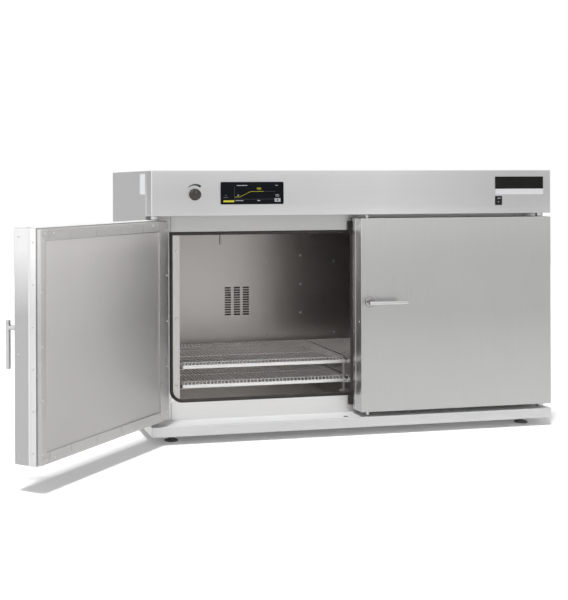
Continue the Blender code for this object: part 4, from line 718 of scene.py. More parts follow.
def makeKnob():
    x, z = panel["knobX"], panel["knobZ"]
    top = knob["height"] - 0.0002
    bm = bmesh.new()
    steps = knob["flutes"] * 4
    profile = [(0, top - 0.0016), (0.0125, top - 0.0016), (0.0142, top - 0.0004), (0.0158, top),
               (0.0172, top - 0.0006), (knob["grip"], top - 0.0024),
               (knob["grip"] + 0.0002, knob["skirt"] + 0.001),
               (knob["radius"] - 0.0006, knob["skirt"]), (knob["radius"], knob["skirt"] - 0.0008),
               (knob["radius"], 0.0), (0.004, 0.0), (0.004, -0.8070), (0.008, -0.8070), (0.008, -0.8112),
               (0, -0.8112)]
    addLathe(bm, profile, at(x, -0.0003, z), (0, -1, 0), steps)
    centre = at(x, 0, z)
    for vert in bm.verts:
        offset = vert.co - centre
        radius = math.hypot(offset.x, offset.z)
        height = -offset.y
        if knob["grip"] - 0.0004 < radius < knob["grip"] + 0.0006 and knob["skirt"] < height < top - 0.001:
            angle = math.atan2(offset.z, offset.x)
            dent = knob["fluteDepth"] * (0.5 - 0.5 * math.cos(angle * knob["flutes"]))
            vert.co.x = centre.x + offset.x * (radius - dent) / radius
            vert.co.z = centre.z + offset.z * (radius - dent) / radius
    grip = fromBmesh("exhaustKnob", bm, knobPlastic, 45)
    line = boxes("knobLine", [(at(x - 0.0011, -0.0225, z + 0.0035), at(x + 0.0011, -0.0195, z + 0.0150))],
                 knobMark)
    bm = bmesh.new()
    for middle in (135, 315):
        points = [(x + r * math.cos(math.radians(a)), z + r * math.sin(math.radians(a)))
                  for r, a in [(0.026, middle - 42 + 84 * i / 10) for i in range(11)]
                  + [(0.006, middle + 42 - 84 * i / 6) for i in range(7)]]
        addPlate(bm, points, 0.8089, 0.8109)
    vanes = fromBmesh("damperVanes", bm, zincSteel)
    whole = joinedPieces("exhaustKnobAndDamper", [grip, line, vanes])
    placed(whole, "damper", ("exhaust_knob",))
    # printed arc over the knob, wider towards the right
    bm = bmesh.new()
    outer, inner = [], []
    for i in range(25):
        share = i / 24
        angle = math.radians(136 - 84 * share)
        half = 0.0009 + 0.0034 * share
        outer.append((x + (0.0345 + half) * math.cos(angle), z + (0.0345 + half) * math.sin(angle)))
        inner.append((x + (0.0345 - half) * math.cos(angle), z + (0.0345 - half) * math.sin(angle)))
    addPlate(bm, outer + list(reversed(inner)), -0.0002, 0.0001)
    placed(fromBmesh("knobArc", bm, printGrey), "cabinet")


makeKnob()


display = dict(corner=0.004, ink=0.00008)


def makeDisplay():
    x, z = panel["displayX"], panel["displayZ"]
    front, back = -0.0033, -0.0003
    bm = bmesh.new()
    addPlate(bm, roundedOutline(x, z, display["corner"], 5), front, back)
    edges = [e for e in bm.edges if abs(e.verts[0].co.y - (frontY + front)) < 1e-6
             and abs(e.verts[1].co.y - (frontY + front)) < 1e-6]
    bmesh.ops.bevel(bm, geom=edges, offset=0.0008, segments=3, profile=0.5, affect="EDGES")
    glass = fromBmesh("touchDisplay", bm, screenGlass)
    ink = front - display["ink"]

    def bar(bm, left, top, width, height):
        addBox(bm, at(x[0] + left, ink, z[1] - top - height),
               at(x[0] + left + width, front + 0.0002, z[1] - top))

    def stroke(bm, points, width):
        upper = [(x[0] + u, z[1] - v + width / 2) for u, v in points]
        lower = [(x[0] + u, z[1] - v - width / 2) for u, v in reversed(points)]
        addPlate(bm, upper + lower, ink, front + 0.0002)

    yellow = bmesh.new()
    bar(yellow, 0.0095, 0.0655, 0.040, 0.0065)
    stroke(yellow, [(0.0505, 0.0545), (0.070, 0.0535), (0.086, 0.0465), (0.104, 0.0370), (0.112, 0.0345),
                    (0.158, 0.0340)], 0.0011)
    for left, width in ((0.134, 0.0052), (0.1405, 0.0052), (0.1475, 0.0025)):
        bar(yellow, left, 0.0205, width, 0.0012)
        bar(yellow, left, 0.0265, width, 0.0012)
        bar(yellow, left, 0.0205, 0.0012, 0.0072)
        if width > 0.003:
            bar(yellow, left + width - 0.0012, 0.0205, 0.0012, 0.0072)
    pale = bmesh.new()
    bar(pale, 0.200, 0.0590, 0.022, 0.0125)
    for left, top, width, height in ((0.059, 0.0115, 0.039, 0.0024), (0.203, 0.0115, 0.009, 0.0024),
                                     (0.054, 0.0655, 0.029, 0.0022), (0.135, 0.0650, 0.011, 0.0030),
                                     (0.203, 0.0450, 0.013, 0.0018), (0.203, 0.0500, 0.015, 0.0018),
                                     (0.061, 0.0460, 0.007, 0.0020), (0.061, 0.0495, 0.004, 0.0016)):
        bar(pale, left, top, width, height)
    dim = bmesh.new()
    for left, top, width, height in ((0.0505, 0.0160, 0.0006, 0.046), (0.158, 0.0337, 0.045, 0.0006),
                                     (0.015, 0.0465, 0.006, 0.0020), (0.0100, 0.0545, 0.016, 0.0016),
                                     (0.0505, 0.0615, 0.150, 0.0005)):
        bar(dim, left, top, width, height)
    dark = boxes("inkDark", [(at(x[0] + 0.2085, ink - 0.00006, z[1] - 0.068),
                              at(x[0] + 0.2135, front + 0.0001, z[1] - 0.0625))], screenGlass)
    whole = joinedPieces("touchDisplayWithScreen", [glass, fromBmesh("inkYellow", yellow, screenYellow),
                         fromBmesh("inkPale", pale, screenPale), fromBmesh("inkDim", dim, screenDim), dark])
    placed(whole, "cabinet", ("display_screen",))


makeDisplay()


def makeNamePlate():
    x, z, split = panel["plateX"], panel["plateZ"], panel["plateSplit"]
    front, back = -0.0014, -0.0003
    bm = bmesh.new()
    addPlate(bm, roundedOutline(x, (split, z[1]), 0.0012, 3), front, back)
    dark = fromBmesh("plateField", bm, plateBlack)
    bm = bmesh.new()
    addPlate(bm, roundedOutline(x, (z[0], split - 0.0006), 0.0012, 3), front, back)
    pale = fromBmesh("plateStrip", bm, plateSilver)
    bm = bmesh.new()
    addPlate(bm, roundedOutline((x[0] + 0.001, x[1] - 0.001), (z[0] + 0.001, z[1] - 0.001), 0.001, 3),
             front + 0.0003, back)
    under = fromBmesh("plateBacking", bm, plateSilver)
    placed(joinedPieces("barePlate", [dark, pale, under]), "cabinet", ("name_plate",))


makeNamePlate()


rocker = dict(lip=0.0028, pivotDepth=0.003, halfX=0.0081, reach=0.0103, rows=12)


def makeSwitch():
    x, z = panel["switchX"], panel["switchZ"]
    cx, cz = (x[0] + x[1]) / 2, (z[0] + z[1]) / 2
    bm = blockMesh(at(x[0], -rocker["lip"], z[0]), at(x[1], -0.0003, z[1]), 0.0009, 3, ((1, 1),))
    rim = fromBmesh("switchRim", bm, switchPlastic)
    body = boxCutter([(at(x[0] + 0.0025, -0.0015, z[0] + 0.0025), at(x[1] - 0.0025, 0.022, z[1] - 0.0025))])
    pocket = fromBmesh("cutter", blockMesh(at(x[0] + 0.005, -0.01, z[0] + 0.005),
                                           at(x[1] - 0.005, 0.011, z[1] - 0.005), 0.0006, 2), None)
    carved(rim, [pocket], [body])
    placed(rim, "cabinet", ("power_switch_frame",))
    # tilted rocker with a hollowed face
    halfX, reach, rows = rocker["halfX"], rocker["reach"], rocker["rows"]

    # depth of the face at a height v from -1 to 1
    def faceDepth(v):
        return -0.0003 - 0.00395 * v * v - 0.00175 * v

    bm = bmesh.new()
    near, far = [], []
    for i in range(rows + 1):
        v = -1 + 2 * i / rows
        depth = faceDepth(v)
        near.append([bm.verts.new(at(cx + side * halfX, depth, cz + v * reach)) for side in (-1, 1)])
        back = rocker["pivotDepth"] + 0.0052 - 0.0026 * abs(v)
        far.append([bm.verts.new(at(cx + side * halfX, back, cz + v * reach)) for side in (-1, 1)])
    for i in range(rows):
        bm.faces.new((near[i][0], near[i][1], near[i + 1][1], near[i + 1][0]))
        bm.faces.new((far[i][1], far[i][0], far[i + 1][0], far[i + 1][1]))
        for side in (0, 1):
            bm.faces.new((near[i][side], near[i + 1][side], far[i + 1][side], far[i][side]))
    bm.faces.new((near[0][0], near[0][1], far[0][1], far[0][0]))
    bm.faces.new((near[-1][0], far[-1][0], far[-1][1], near[-1][1]))
    cap = fromBmesh("rockerCap", bm, switchPlastic, 30)
    mark = boxes("rockerLine", [(at(cx - 0.0062, faceDepth(high) - 0.0001, cz + low * reach),
                                 at(cx + 0.0062, faceDepth(low) + 0.0008, cz + high * reach))
                                for low, high in ((0.74, 0.84), (0.84, 0.95))], markWhite)
    profile = [(0.0012, 0), (0.0025, 0), (0.0025, 0.0006), (0.0012, 0.0006), (0.0012, 0)]
    ring = latheMesh("rockerRing", profile, at(cx, faceDepth(-0.6) + 0.0004, cz - 0.0055), (0, -1, 0),
                     markWhite, 20)
    placed(joinedPieces("powerRocker", [cap, mark, ring]), "rocker", ("power_switch_rocker",))


makeSwitch()


def makeSideLabel():
    x = -oven["halfWidth"]
    label = boxes("bareSideLabel", [(at(x - 0.0002, 0.112, 0.856), at(x + 0.0001, 0.212, 0.930))], labelWhite)
    placed(label, "cabinet")


print("base")
base = dict(bend=0.0025, keeperRadius=0.008)


def makeBase():
    w, s = oven["halfWidth"], oven["sheet"]
    top, back = oven["baseTop"], oven["casingBack"]
    bm = blockMesh(at(-w, 0, 0), at(w, back, top), base["bend"], 4, ((1, 1),))
    tray = fromBmesh("baseTray", bm, baseSteel)
    cutters = [boxCutter([(at(-w + s, s, s), at(w - s, back - s, top - s))]),
               boxCutter([(at(-w + 2 * s, oven["frameDepth"] + s, top - 2 * s),
                           at(w - 2 * s, back - s, top + 0.01))])]
    for side in (-1, 1):
        for x, depth in ((oven["boltX"], oven["boltDepth"]), (oven["hingeX"], oven["hingeDepth"])):
            cutters.append(roundCutter(at(side * x, depth, top - 0.006), (0, 0, 1),
                                       base["keeperRadius"], 0.012))
    carved(tray, cutters)
    # painted light on the ledge top and painted highlight on its front-top bend
    paintLightByFacing(tray, topLitSteel, (0, 0, 1))
    paintLightByFacing(tray, bendHighlightSteel, (0, -1, 1), 0.75)
    placed(tray, "cabinet", ("base_tray",))
    # bushes in the bolt holes of the ledge and of the panel's floor
    rings = []
    for side in (-1, 1):
        for z, up in ((top, 1), (oven["panelBottom"], -1)):
            profile = [(0.0066, -0.004), (0.0078, -0.004), (0.0078, 0), (0.0098, 0), (0.0098, 0.0003),
                       (0.0092, 0.0005), (0.0068, 0.0005), (0.0066, 0.0003), (0.0066, -0.004)]
            rings.append(latheMesh("bush", profile, at(side * oven["boltX"], oven["boltDepth"], z),
                                   (0, 0, up), polishedSteel, 28))
    placed(joinedPieces("boltKeeperBushes", rings), "cabinet")
    for end, depth in (("front", 0.075), ("rear", 0.740)):
        for side, word in ((-1, "left"), (1, "right")):
            profile = [(0, -0.0003), (0.017, -0.0003), (0.017, -0.0065), (0.0105, -0.0070), (0.010, -0.0072),
                       (0.010, -0.0195), (0.0125, -0.0205), (0.0215, -0.0232), (0.0245, -0.0248),
                       (0.0250, -0.0262), (0.0250, -0.0282), (0.0244, -0.0290), (0, -0.0290)]
            foot = latheMesh(f"foot{end.title()}{word.title()}", profile, at(side * 0.690, depth, 0),
                             (0, 0, 1), footRubber, 36)
            placed(foot, "cabinet", (f"foot_{end}_{word}",))


makeBase()

print("mouth and gaskets")
gasket = dict(width=0.0122, corner=0.035, near=0.0967, far=0.1026, steps=8)


# lip profile: (outwards from the mouth edge, depth)
def gasketProfile(reliefDepth=None):
    w, near, far = gasket["width"], gasket["near"], gasket["far"]
    top = near if reliefDepth is None else reliefDepth
    points = [(0.0003, far), (w - 0.0003, far), (w, far - 0.0012), (w * 0.93, far - 0.0020),
              (w * 0.93, top + 0.0016), (w * 0.80, top + 0.0005), (w * 0.62, top), (w * 0.38, top),
              (w * 0.20, top + 0.0005), (w * 0.07, top + 0.0016), (w * 0.07, far - 0.0020),
              (0.0, far - 0.0012)]
    return points


def mouthPath():
    half, low, high = oven["mouthHalf"], oven["mouthBottom"], oven["mouthTop"]
    n = gasket["steps"]
    path = []
    for side, start in ((1, -90), (-1, 180)):
        mx, mz, r = side * (half - gasket["corner"]), low + gasket["corner"], gasket["corner"]
        for step in range(n + 1):
            angle = math.radians(start + 90 * step / n)
            normal = (math.cos(angle), math.sin(angle))
            path.append(((mx + r * normal[0], mz + r * normal[1]), normal))
        if side > 0:
            path += [((half, high), (1, 1)), ((-half, high), (-1, 1))]
    return path


def makeGasket():
    bm = bmesh.new()
    full = gasketProfile()
    rings = []
    path = mouthPath()
    # extra points where the ring is lower under the centre seal
    dense = []
    for index, (point, normal) in enumerate(path):
        dense.append((point, normal, False))
        following = path[(index + 1) % len(path)][0]
        if abs(following[0] - point[0]) > 0.5:
            z = point[1]
            ends = (-0.012, -0.0105, 0.0335, 0.035)
            if following[0] < point[0]:
                ends = tuple(reversed(ends))
            for i, x in enumerate(ends):
                dense.append(((x, z), (0, normal[1]), i in (1, 2)))
    low = gasketProfile(0.0984)
    for (px, pz), (nx, nz), isLow in dense:
        shape = low if isLow else full
        rings.append([bm.verts.new(at(px + nx * u, d, pz + nz * u)) for u, d in shape])
    for index in range(len(rings)):
        first, second = rings[index], rings[(index + 1) % len(rings)]
        for j in range(len(first)):
            k = (j + 1) % len(first)
            bm.faces.new((first[j], first[k], second[k], second[j]))
    placed(fromBmesh("chamberGasket", bm, gasketRubber, 60), "cabinet", ("chamber_gasket",))


makeGasket()


# folded joints of the frame above and below the gasket
def makeFrameSeams():
    depth, seamX, half = oven["frameDepth"], 0.683, 0.0008
    spans = [(at(side * seamX - half, depth - 0.0002, low), at(side * seamX + half, depth + 0.0004, high))
             for side in (-1, 1)
             for low, high in ((oven["baseTop"] + 0.0015, 0.0990), (0.7200, 0.7755))]
    placed(boxes("frameSeams", spans, seamShade), "cabinet")


makeFrameSeams()


def makeCentreSeal():
    near = 0.0963
    low, high = 0.066, 0.753
    bm = bmesh.new()
    thin = [(-0.0040, near), (0.0300, near), (0.0300, near + 0.0015), (-0.0040, near + 0.0015)]
    # tabs at the ends, the lipped strip between them
    for z0, z1 in ((low, 0.1150), (0.7042, high)):
        addPrism(bm, [at(x, d, z0) for x, d in thin], [at(x, d, z1) for x, d in thin])
    tabs = fromBmesh("sealTabs", bm, gasketRubber)
    bm = bmesh.new()
    # x and how far behind the near face
    shape = [(0.0040, 0.0006), (0.0046, 0), (0.0300, 0), (0.0300, 0.0030), (0.0275, 0.0045), (0.0225, 0.0055),
             (0.0190, 0.0045), (0.0175, 0.0032), (0.0155, 0.0032), (0.0140, 0.0045), (0.0105, 0.0055),
             (0.0065, 0.0052), (0.0045, 0.0040), (0.0040, 0.0022)]
    addPrism(bm, *([at(x, near + d, z) for x, d in shape] for z in (0.1150, 0.7042)))
    strip = fromBmesh("sealStrip", bm, gasketRubber, 50)
    placed(joinedPieces("centreSeal", [tabs, strip]), "right_door", ("centre_seal",))


makeCentreSeal()

print("chamber")
chamber = dict(intakeX=0.279, intakeZ=0.403, slotLength=0.0285, slotHeight=0.0066, columns=3, rows=12,
               pitchX=0.039, pitchZ=0.0101)


def makeChamberDetails():
    # baffle with rounded intake slots
    inside = oven["chamberHalf"] - 0.0003
    depth = oven["baffleDepth"]
    sheet = boxes("baffleSheet", [(at(-inside, depth, oven["floorZ"] + 0.0003),
                                   at(inside, depth + oven["sheet"], oven["roofZ"] - 0.0003))], chamberSteel)
    bm = bmesh.new()
    half, r = chamber["slotLength"] / 2, chamber["slotHeight"] / 2
    outline = []
    for cx, start in ((half - r, -90), (-half + r, 90)):
        for step in range(7):
            angle = math.radians(start + 180 * step / 6)
            outline.append((cx + r * math.cos(angle), r * math.sin(angle)))
    addPrism(bm, [(x, -0.004, z) for x, z in outline], [(x, 0.006, z) for x, z in outline])
    slot = fromBmesh("slotCutter", bm, None)
    tree = slotTree()
    mesh = sheet.data
    bpy.data.objects.remove(sheet, do_unlink=True)
    for index, side in enumerate((-1, 1)):
        piece = grown("rearBaffle", mesh, tree, {
            "Slot": slot, "Columns": chamber["columns"], "Rows": chamber["rows"],
            "PitchX": chamber["pitchX"], "PitchZ": chamber["pitchZ"],
            "Centre": at(side * chamber["intakeX"], depth, chamber["intakeZ"]),
            "Finish": chamberSteel})
        mesh = piece.data
        if index == 0:
            bpy.data.objects.remove(piece, do_unlink=True)
    bpy.data.objects.remove(slot, do_unlink=True)
    placed(piece, "cabinet", ("rear_baffle",))
    toMouth = (0, -1, 0)
    rows = []
    for x, heights in ((-0.150, (0.259, 0.562)), (0.150, (0.259, 0.562)), (0.0, (0.588, 0.468, 0.346)),
                       (-0.615, (0.16, 0.40, 0.66)), (0.615, (0.16, 0.40, 0.66))):
        for z in heights:
            rows.append((at(x, depth, z), toMouth))
    screws("baffleScrews", rows, "cabinet", 0.010, seed=5)
    rows = [(at(x, 0.124, oven["floorZ"]), (0, 0, 1))
            for x in (-0.51, -0.364, -0.218, -0.072, 0.072, 0.218, 0.364, 0.51)]
    screws("floorScrews", rows, "cabinet", 0.010, seed=8, finish=polishedSteel)
    rows = [(at(side * 0.6615, 0.1048, z), toMouth) for side in (-1, 1) for z in (0.1650, 0.406, 0.651)]
    screws("ductScrews", rows, "cabinet", 0.0085, seed=9)


makeChamberDetails()

print("shelves")
shelf = dict(front=0.124, back=0.616, inner=0.0025, outer=0.636, base=0.2175, drop=0.071,
             barHeight=0.0125, wire=0.0021, pitch=0.0140, rod=0.0026, top=0.2424, rise=0.024)


def makeShelf(side, level, tree):
    word = "left" if side < 0 else "right"
    down = 0.0 if level == "upper" else shelf["drop"]
    low = shelf["base"] - down
    barTop = low + shelf["barHeight"]
    wireZ = shelf["top"] - down - shelf["wire"]
    x = (-shelf["outer"], -shelf["inner"]) if side < 0 else (shelf["inner"], shelf["outer"])
    pieces = []
    # flat bars in front and behind, lighter rods along the sides
    for depth in (shelf["front"], shelf["back"] - 0.005):
        bm = blockMesh(at(x[0] + 0.002, depth, low), at(x[1] - 0.002, depth + 0.005, barTop), 0.0012, 2)
        pieces.append(fromBmesh("bar", bm, wireSteel))
    for edge in (x[0] + 0.0032, x[1] - 0.0032):
        profile = [(0, 0), (0.0024, 0), (0.0032, 0.0008), (0.0032, 0.4912), (0.0024, 0.492), (0, 0.492)]
        pieces.append(latheMesh("sideRod", profile, at(edge, shelf["front"], low + 0.0045), (0, 1, 0),
                                wireSteel, 12))
    # long wires, bent down onto the bars
    near, far, rise = shelf["front"], shelf["back"], shelf["rise"]
    span = x[1] - x[0] - 2 * 0.006
    count = int(span / shelf["pitch"]) + 1
    start = x[0] + 0.006 + (span - (count - 1) * shelf["pitch"]) / 2
    route = [at(0, near + shelf["wire"] + 0.0052, barTop - 0.006), at(0, near + 0.0068, barTop + 0.001),
             at(0, near + rise, wireZ), at(0, far - rise, wireZ), at(0, far - 0.0068, barTop + 0.001),
             at(0, far - 0.0067, barTop - 0.006)]
    mesh = bpy.data.meshes.new("route")
    mesh.from_pydata(route, [(i, i + 1) for i in range(len(route) - 1)], [])
    pieces.append(grown("longWires", mesh, tree, {
        "Count": count, "Start": (start, 0, 0), "Pitch": (shelf["pitch"], 0, 0), "Radius": shelf["wire"],
        "Bend": 0.008, "Sides": 6, "Finish": wireSteel}))
    # cross rods under the wires
    mesh = bpy.data.meshes.new("crossRoute")
    crossZ = wireZ - shelf["wire"] - shelf["rod"] + 0.0003
    mesh.from_pydata([at(x[0] + 0.002, 0, crossZ), at(x[1] - 0.002, 0, crossZ)], [(0, 1)], [])
    pieces.append(grown("crossRods", mesh, tree, {
        "Count": 4, "Start": (0, 0.1515, 0), "Pitch": (0, 0.1456, 0), "Radius": shelf["rod"],
        "Bend": 0.0, "Sides": 10, "Finish": wireSteel}))
    body = f"left_rack_{'up' if level == 'upper' else 'down'}" if side < 0 else "cabinet"
    whole = joinedPieces(f"{word}{level.title()}WireShelf", pieces)
    placed(whole, body, (f"{word}_{level}_shelf",))


shelfTree = wireTree()
for shelfSide in (-1, 1):
    for shelfLevel in ("upper", "lower"):
        makeShelf(shelfSide, shelfLevel, shelfTree)

print("doors")
door = dict(low=0.054, high=0.765, lip=0.0056, edge=0.0075, shellDepth=0.081, thick=0.096,
            setback=0.004, bend=0.0024, stripFree=0.030, stripHinge=0.064, stripTop=0.038,
            slitsAcross=(0.160, 0.303, 0.447, 0.590), slitsDown=(0.137, 0.281, 0.425, 0.569), slit=0.0012)


# x from one distance to another, counted from the door's free edge
def span(side, near, far):
    return tuple(sorted((side * (door["edge"] + near), side * (door["edge"] + far))))


def makeDoor(side):
    word = "left" if side < 0 else "right"
    body = word + "_door"
    turn = openTurn if side < 0 else None
    s = oven["sheet"]
    width = oven["halfWidth"] - door["edge"]
    low, high = door["low"], door["high"]
    x = span(side, 0, width)
    # outer shell, folded, with hinge bosses
    shell = fromBmesh("shell", blockMesh(at(x[0], 0, low), at(x[1], door["shellDepth"], high),
                                         door["bend"], 4, ((1, 1),)), doorSteel)
    lip, deep = door["lip"], door["shellDepth"]
    cutters = [boxCutter([(at(x[0] + s, s, low + s), at(x[1] - s, deep - s, high - s))]),
               boxCutter([(at(x[0] + lip, deep - 0.01, low + lip), at(x[1] - lip, deep + 0.01, high - lip))])]
    pinX, boltX = side * oven["hingeX"], side * oven["boltX"]
    bosses = []
    for z, up in ((high, 1), (low, -1)):
        profile = [(0.0081, -0.026), (0.014, -0.026), (0.014, 0.0013), (0.0133, 0.002), (0.0081, 0.002),
                   (0.0081, -0.026)]
        bosses.append(latheMesh("boss", profile, at(pinX, oven["hingeDepth"], z), (0, 0, up), polishedSteel))
        for px, depth, radius in ((pinX, oven["hingeDepth"], 0.0141), (boltX, oven["boltDepth"], 0.0066)):
            cutters.append(roundCutter(at(px, depth, z - 0.004), (0, 0, 1), radius, 0.008))
    cutters.append(roundCutter(at(boltX, -0.004, oven["leverZ"]), (0, 1, 0), 0.0056, 0.01))
    carved(shell, cutters)
    # painted highlight on the free edge and painted light on the top faces
    paintLightByFacing(shell, edgeSteel, (-side, 0, 0))
    paintLightByFacing(shell, topLitSteel, (0, 0, 1))
    # lap strip along the free edge, with the screws of the inner tray
    lap = span(side, -0.0005, 0.0005)
    strip = fromBmesh("lapStrip", blockMesh(at(lap[0], 0.0600, low + 0.001),
                                            at(lap[1], deep, high - 0.001), 0.0003, 2), lapSteel)
    # painted highlight: a bright strip where the lap strip bends
    hem = span(side, -0.0010, 0.0003)
    guides = [fromBmesh("lapHem", blockMesh(at(hem[0], 0.0530, low + 0.002),
                                            at(hem[1], 0.0603, high - 0.002), 0.0005, 2), bendHighlightSteel)]
    for z, up in ((high, 1), (low, -1)):
        profile = [(0.0066, -0.002), (0.0074, -0.002), (0.0074, 0), (0.0092, 0), (0.0092, 0.0005),
                   (0.0066, 0.0005), (0.0066, -0.002)]
        guides.append(latheMesh("guide", profile, at(boltX, oven["boltDepth"], z), (0, 0, up),
                                polishedSteel, 28))
    placed(joinedPieces(word + "DoorShell", [shell, strip] + bosses + guides), body,
           (word + "_door_shell",), turn)
    # inner tray: ring of strips with joints and expansion slits
    tx = span(side, door["setback"], width - door["setback"])
    tz = (low + door["setback"], high - door["setback"])
    near = door["shellDepth"] + 0.0003
    tray = fromBmesh("tray", blockMesh(at(tx[0], near, tz[0]), at(tx[1], door["thick"], tz[1]),
                                       0.0018, 3, ((1, -1),)), linerSteel)
    wx = span(side, door["stripFree"], width - door["stripHinge"])
    wz = (low + door["stripTop"], high - door["stripTop"])
    back = (0.0905, door["thick"] + 0.01)
    cuts = [boxCutter([(at(tx[0] + s, near - 0.01, tz[0] + s),
                        at(tx[1] - s, door["thick"] - s, tz[1] - s))]),
            boxCutter([(at(wx[0], back[0], wz[0]), at(wx[1], back[1], wz[1]))])]
    places = []
    for u in door["slitsAcross"]:
        sx = span(side, u, u + door["slit"])
        places.append((at(sx[0], back[0], wz[1] - 0.01), at(sx[1], back[1], wz[1] + 0.022)))
        places.append((at(sx[0], back[0], wz[0] - 0.022), at(sx[1], back[1], wz[0] + 0.01)))
    for v in door["slitsDown"]:
        sx = span(side, width - door["stripHinge"] - 0.01, width - door["stripHinge"] + 0.022)
        places.append((at(sx[0], back[0], high - v - door["slit"]), at(sx[1], back[1], high - v)))
    # corner joints, scored into the tray's face
    score = door["thick"] - 0.0011
    for u0, u1 in ((0.0457, 0.0469), (width - 0.0653, width - 0.0641)):
        sx = span(side, u0, u1)
        places.append((at(sx[0], score, wz[1] + 0.0005), at(sx[1], back[1], tz[1] + 0.01)))
        places.append((at(sx[0], score, tz[0] - 0.01), at(sx[1], back[1], wz[0] - 0.0005)))
    cuts.append(boxCutter(places))
    sx = span(side, -0.01, 0.0452)
    cuts.append(boxCutter([(at(sx[0], score, z - 0.0004), at(sx[1], back[1], z + 0.0004))
                           for z in (high - 0.0245, low + 0.0245)]))
    carved(tray, cuts)
    placed(tray, body, (word + "_door_liner",), turn)
    tray.name = word + "DoorTray"
    # recessed panel, its edge under the ring
    bm = blockMesh(at(wx[0] - 0.008, 0.0927, wz[0] - 0.008), at(wx[1] + 0.008, 0.0942, wz[1] + 0.008),
                   0.0004, 2)
    placed(fromBmesh(word + "DoorInnerPanel", bm, innerPanelSteel), body,
           (word + "_door_inner_panel",), turn)
    # bright folded edge round the panel
    t = 0.0011
    rims = [((wx[0], wx[0] + t), (wz[0] + t, wz[1] - t)), ((wx[1] - t, wx[1]), (wz[0] + t, wz[1] - t)),
            (wx, (wz[0], wz[0] + t)), (wx, (wz[1] - t, wz[1]))]
    edge = boxes(word + "RingEdge", [(at(rx[0], 0.0944, rz[0]), at(rx[1], 0.0963, rz[1])) for rx, rz in rims],
                 polishedSteel)
    placed(edge, body, turn=turn)
    # screws of the ring and of the free edge
    spots = [(0.0105, z) for z in (0.734, 0.5735, 0.4108, 0.2527, 0.092)]
    for u in (0.030, 0.074, 0.219, 0.363, 0.511, 0.658):
        spots += [(u, high - 0.017), (u, low + 0.017)]
    spots += [(width - 0.016, z) for z in (0.730, 0.570, 0.408, 0.248, 0.088)]
    rows = [(at(side * (door["edge"] + u), door["thick"], z), (0, 1, 0)) for u, z in spots]
    screws(word + "TrayScrews", rows, body, diameter=0.0068, turn=turn, seed=11)
    free = (-side, 0, 0)
    rows = [(at(side * door["edge"], 0.017, z), free) for z in (0.738, 0.538, 0.385, 0.080)]
    rows += [(at(side * (door["edge"] - 0.0005), 0.0705, z), free)
             for z in (0.7218, 0.5963, 0.4696, 0.3443, 0.2194, 0.0935)]
    screws(word + "EdgeScrews", rows, body, diameter=0.0068, turn=turn, seed=12)


for doorSide in (-1, 1):
    makeDoor(doorSide)

print("handles, bolts and hinges")
lever = dict(standoff=0.050, radius=0.0075, back=0.023, reach=0.127, neck=0.0076)


def makeHandle(side):
    word = "left" if side < 0 else "right"
    x, z, r = side * oven["boltX"], oven["leverZ"], lever["radius"]
    rose = [(0.0056, 0), (0.0195, 0), (0.0195, 0.0052), (0.0190, 0.0066), (0.0176, 0.0076), (0.0160, 0.0080),
            (0.0092, 0.0080), (0.0086, 0.0074), (0.0056, 0.0074), (0.0056, 0)]
    turn = openTurn if side < 0 else None
    disc = latheMesh(word + "HandleRose", rose, at(x, -0.0003, z), (0, -1, 0), roseSteel, 48)
    placed(disc, word + "_door", (word + "_handle_rose",), turn)
    neck = lever["neck"]
    profile = [(0, -0.0415), (0.005, -0.0415), (0.005, 0.0087), (neck, 0.0087), (neck, 0.0380),
               (neck + 0.0004, 0.0400), (neck + 0.0004, 0.0500), (0, 0.0500)]
    neckPiece = latheMesh("neck", profile, at(x, 0, z), (0, -1, 0), polishedSteel, 36)
    # round bar with softly rounded ends
    length = lever["back"] + lever["reach"]
    profile = [(0, 0)]
    for step in range(1, 7):
        angle = math.radians(90 * step / 6)
        profile.append((r - 0.0032 + 0.0032 * math.sin(angle), 0.0032 * (1 - math.cos(angle))))
    profile += [(a, length - b) for a, b in reversed(profile)]
    start = x - side * lever["back"]
    bar = latheMesh("bar", profile, at(start, -lever["standoff"], z), (side, 0, 0), polishedSteel, 36)
    carved(bar, [], [neckPiece])
    if side < 0:
        axis = (Matrix.Translation(at(x, 0, z)) @ Matrix.Rotation(-math.pi / 2, 4, "Y")
                @ Matrix.Translation(-at(x, 0, z)))
        bar.data.transform(axis)
    bar.name = word + "Lever"
    placed(bar, word + "_lever", (word + "_handle",), turn)


def makeBolts(side):
    word = "left" if side < 0 else "right"
    turn = openTurn if side < 0 else None
    # the closed door's bolts are out, the open door's are drawn in
    out = 0.0155 if side > 0 else 0.0
    for end, way, length, up in (("upper", "up", 0.289, 1), ("lower", "down", 0.389, -1)):
        tip = [(0, 0), (0.006, 0), (0.006, length - 0.0012), (0.0050, length), (0, length)]
        foot = at(side * oven["boltX"], oven["boltDepth"], oven["leverZ"] + up * (0.016 + out))
        bolt = latheMesh(f"{word}{end.title()}Bolt", tip, foot, (0, 0, up), polishedSteel, 28)
        placed(bolt, f"{word}_bolt_{way}", (f"{word}_{end}_bolt",), turn)


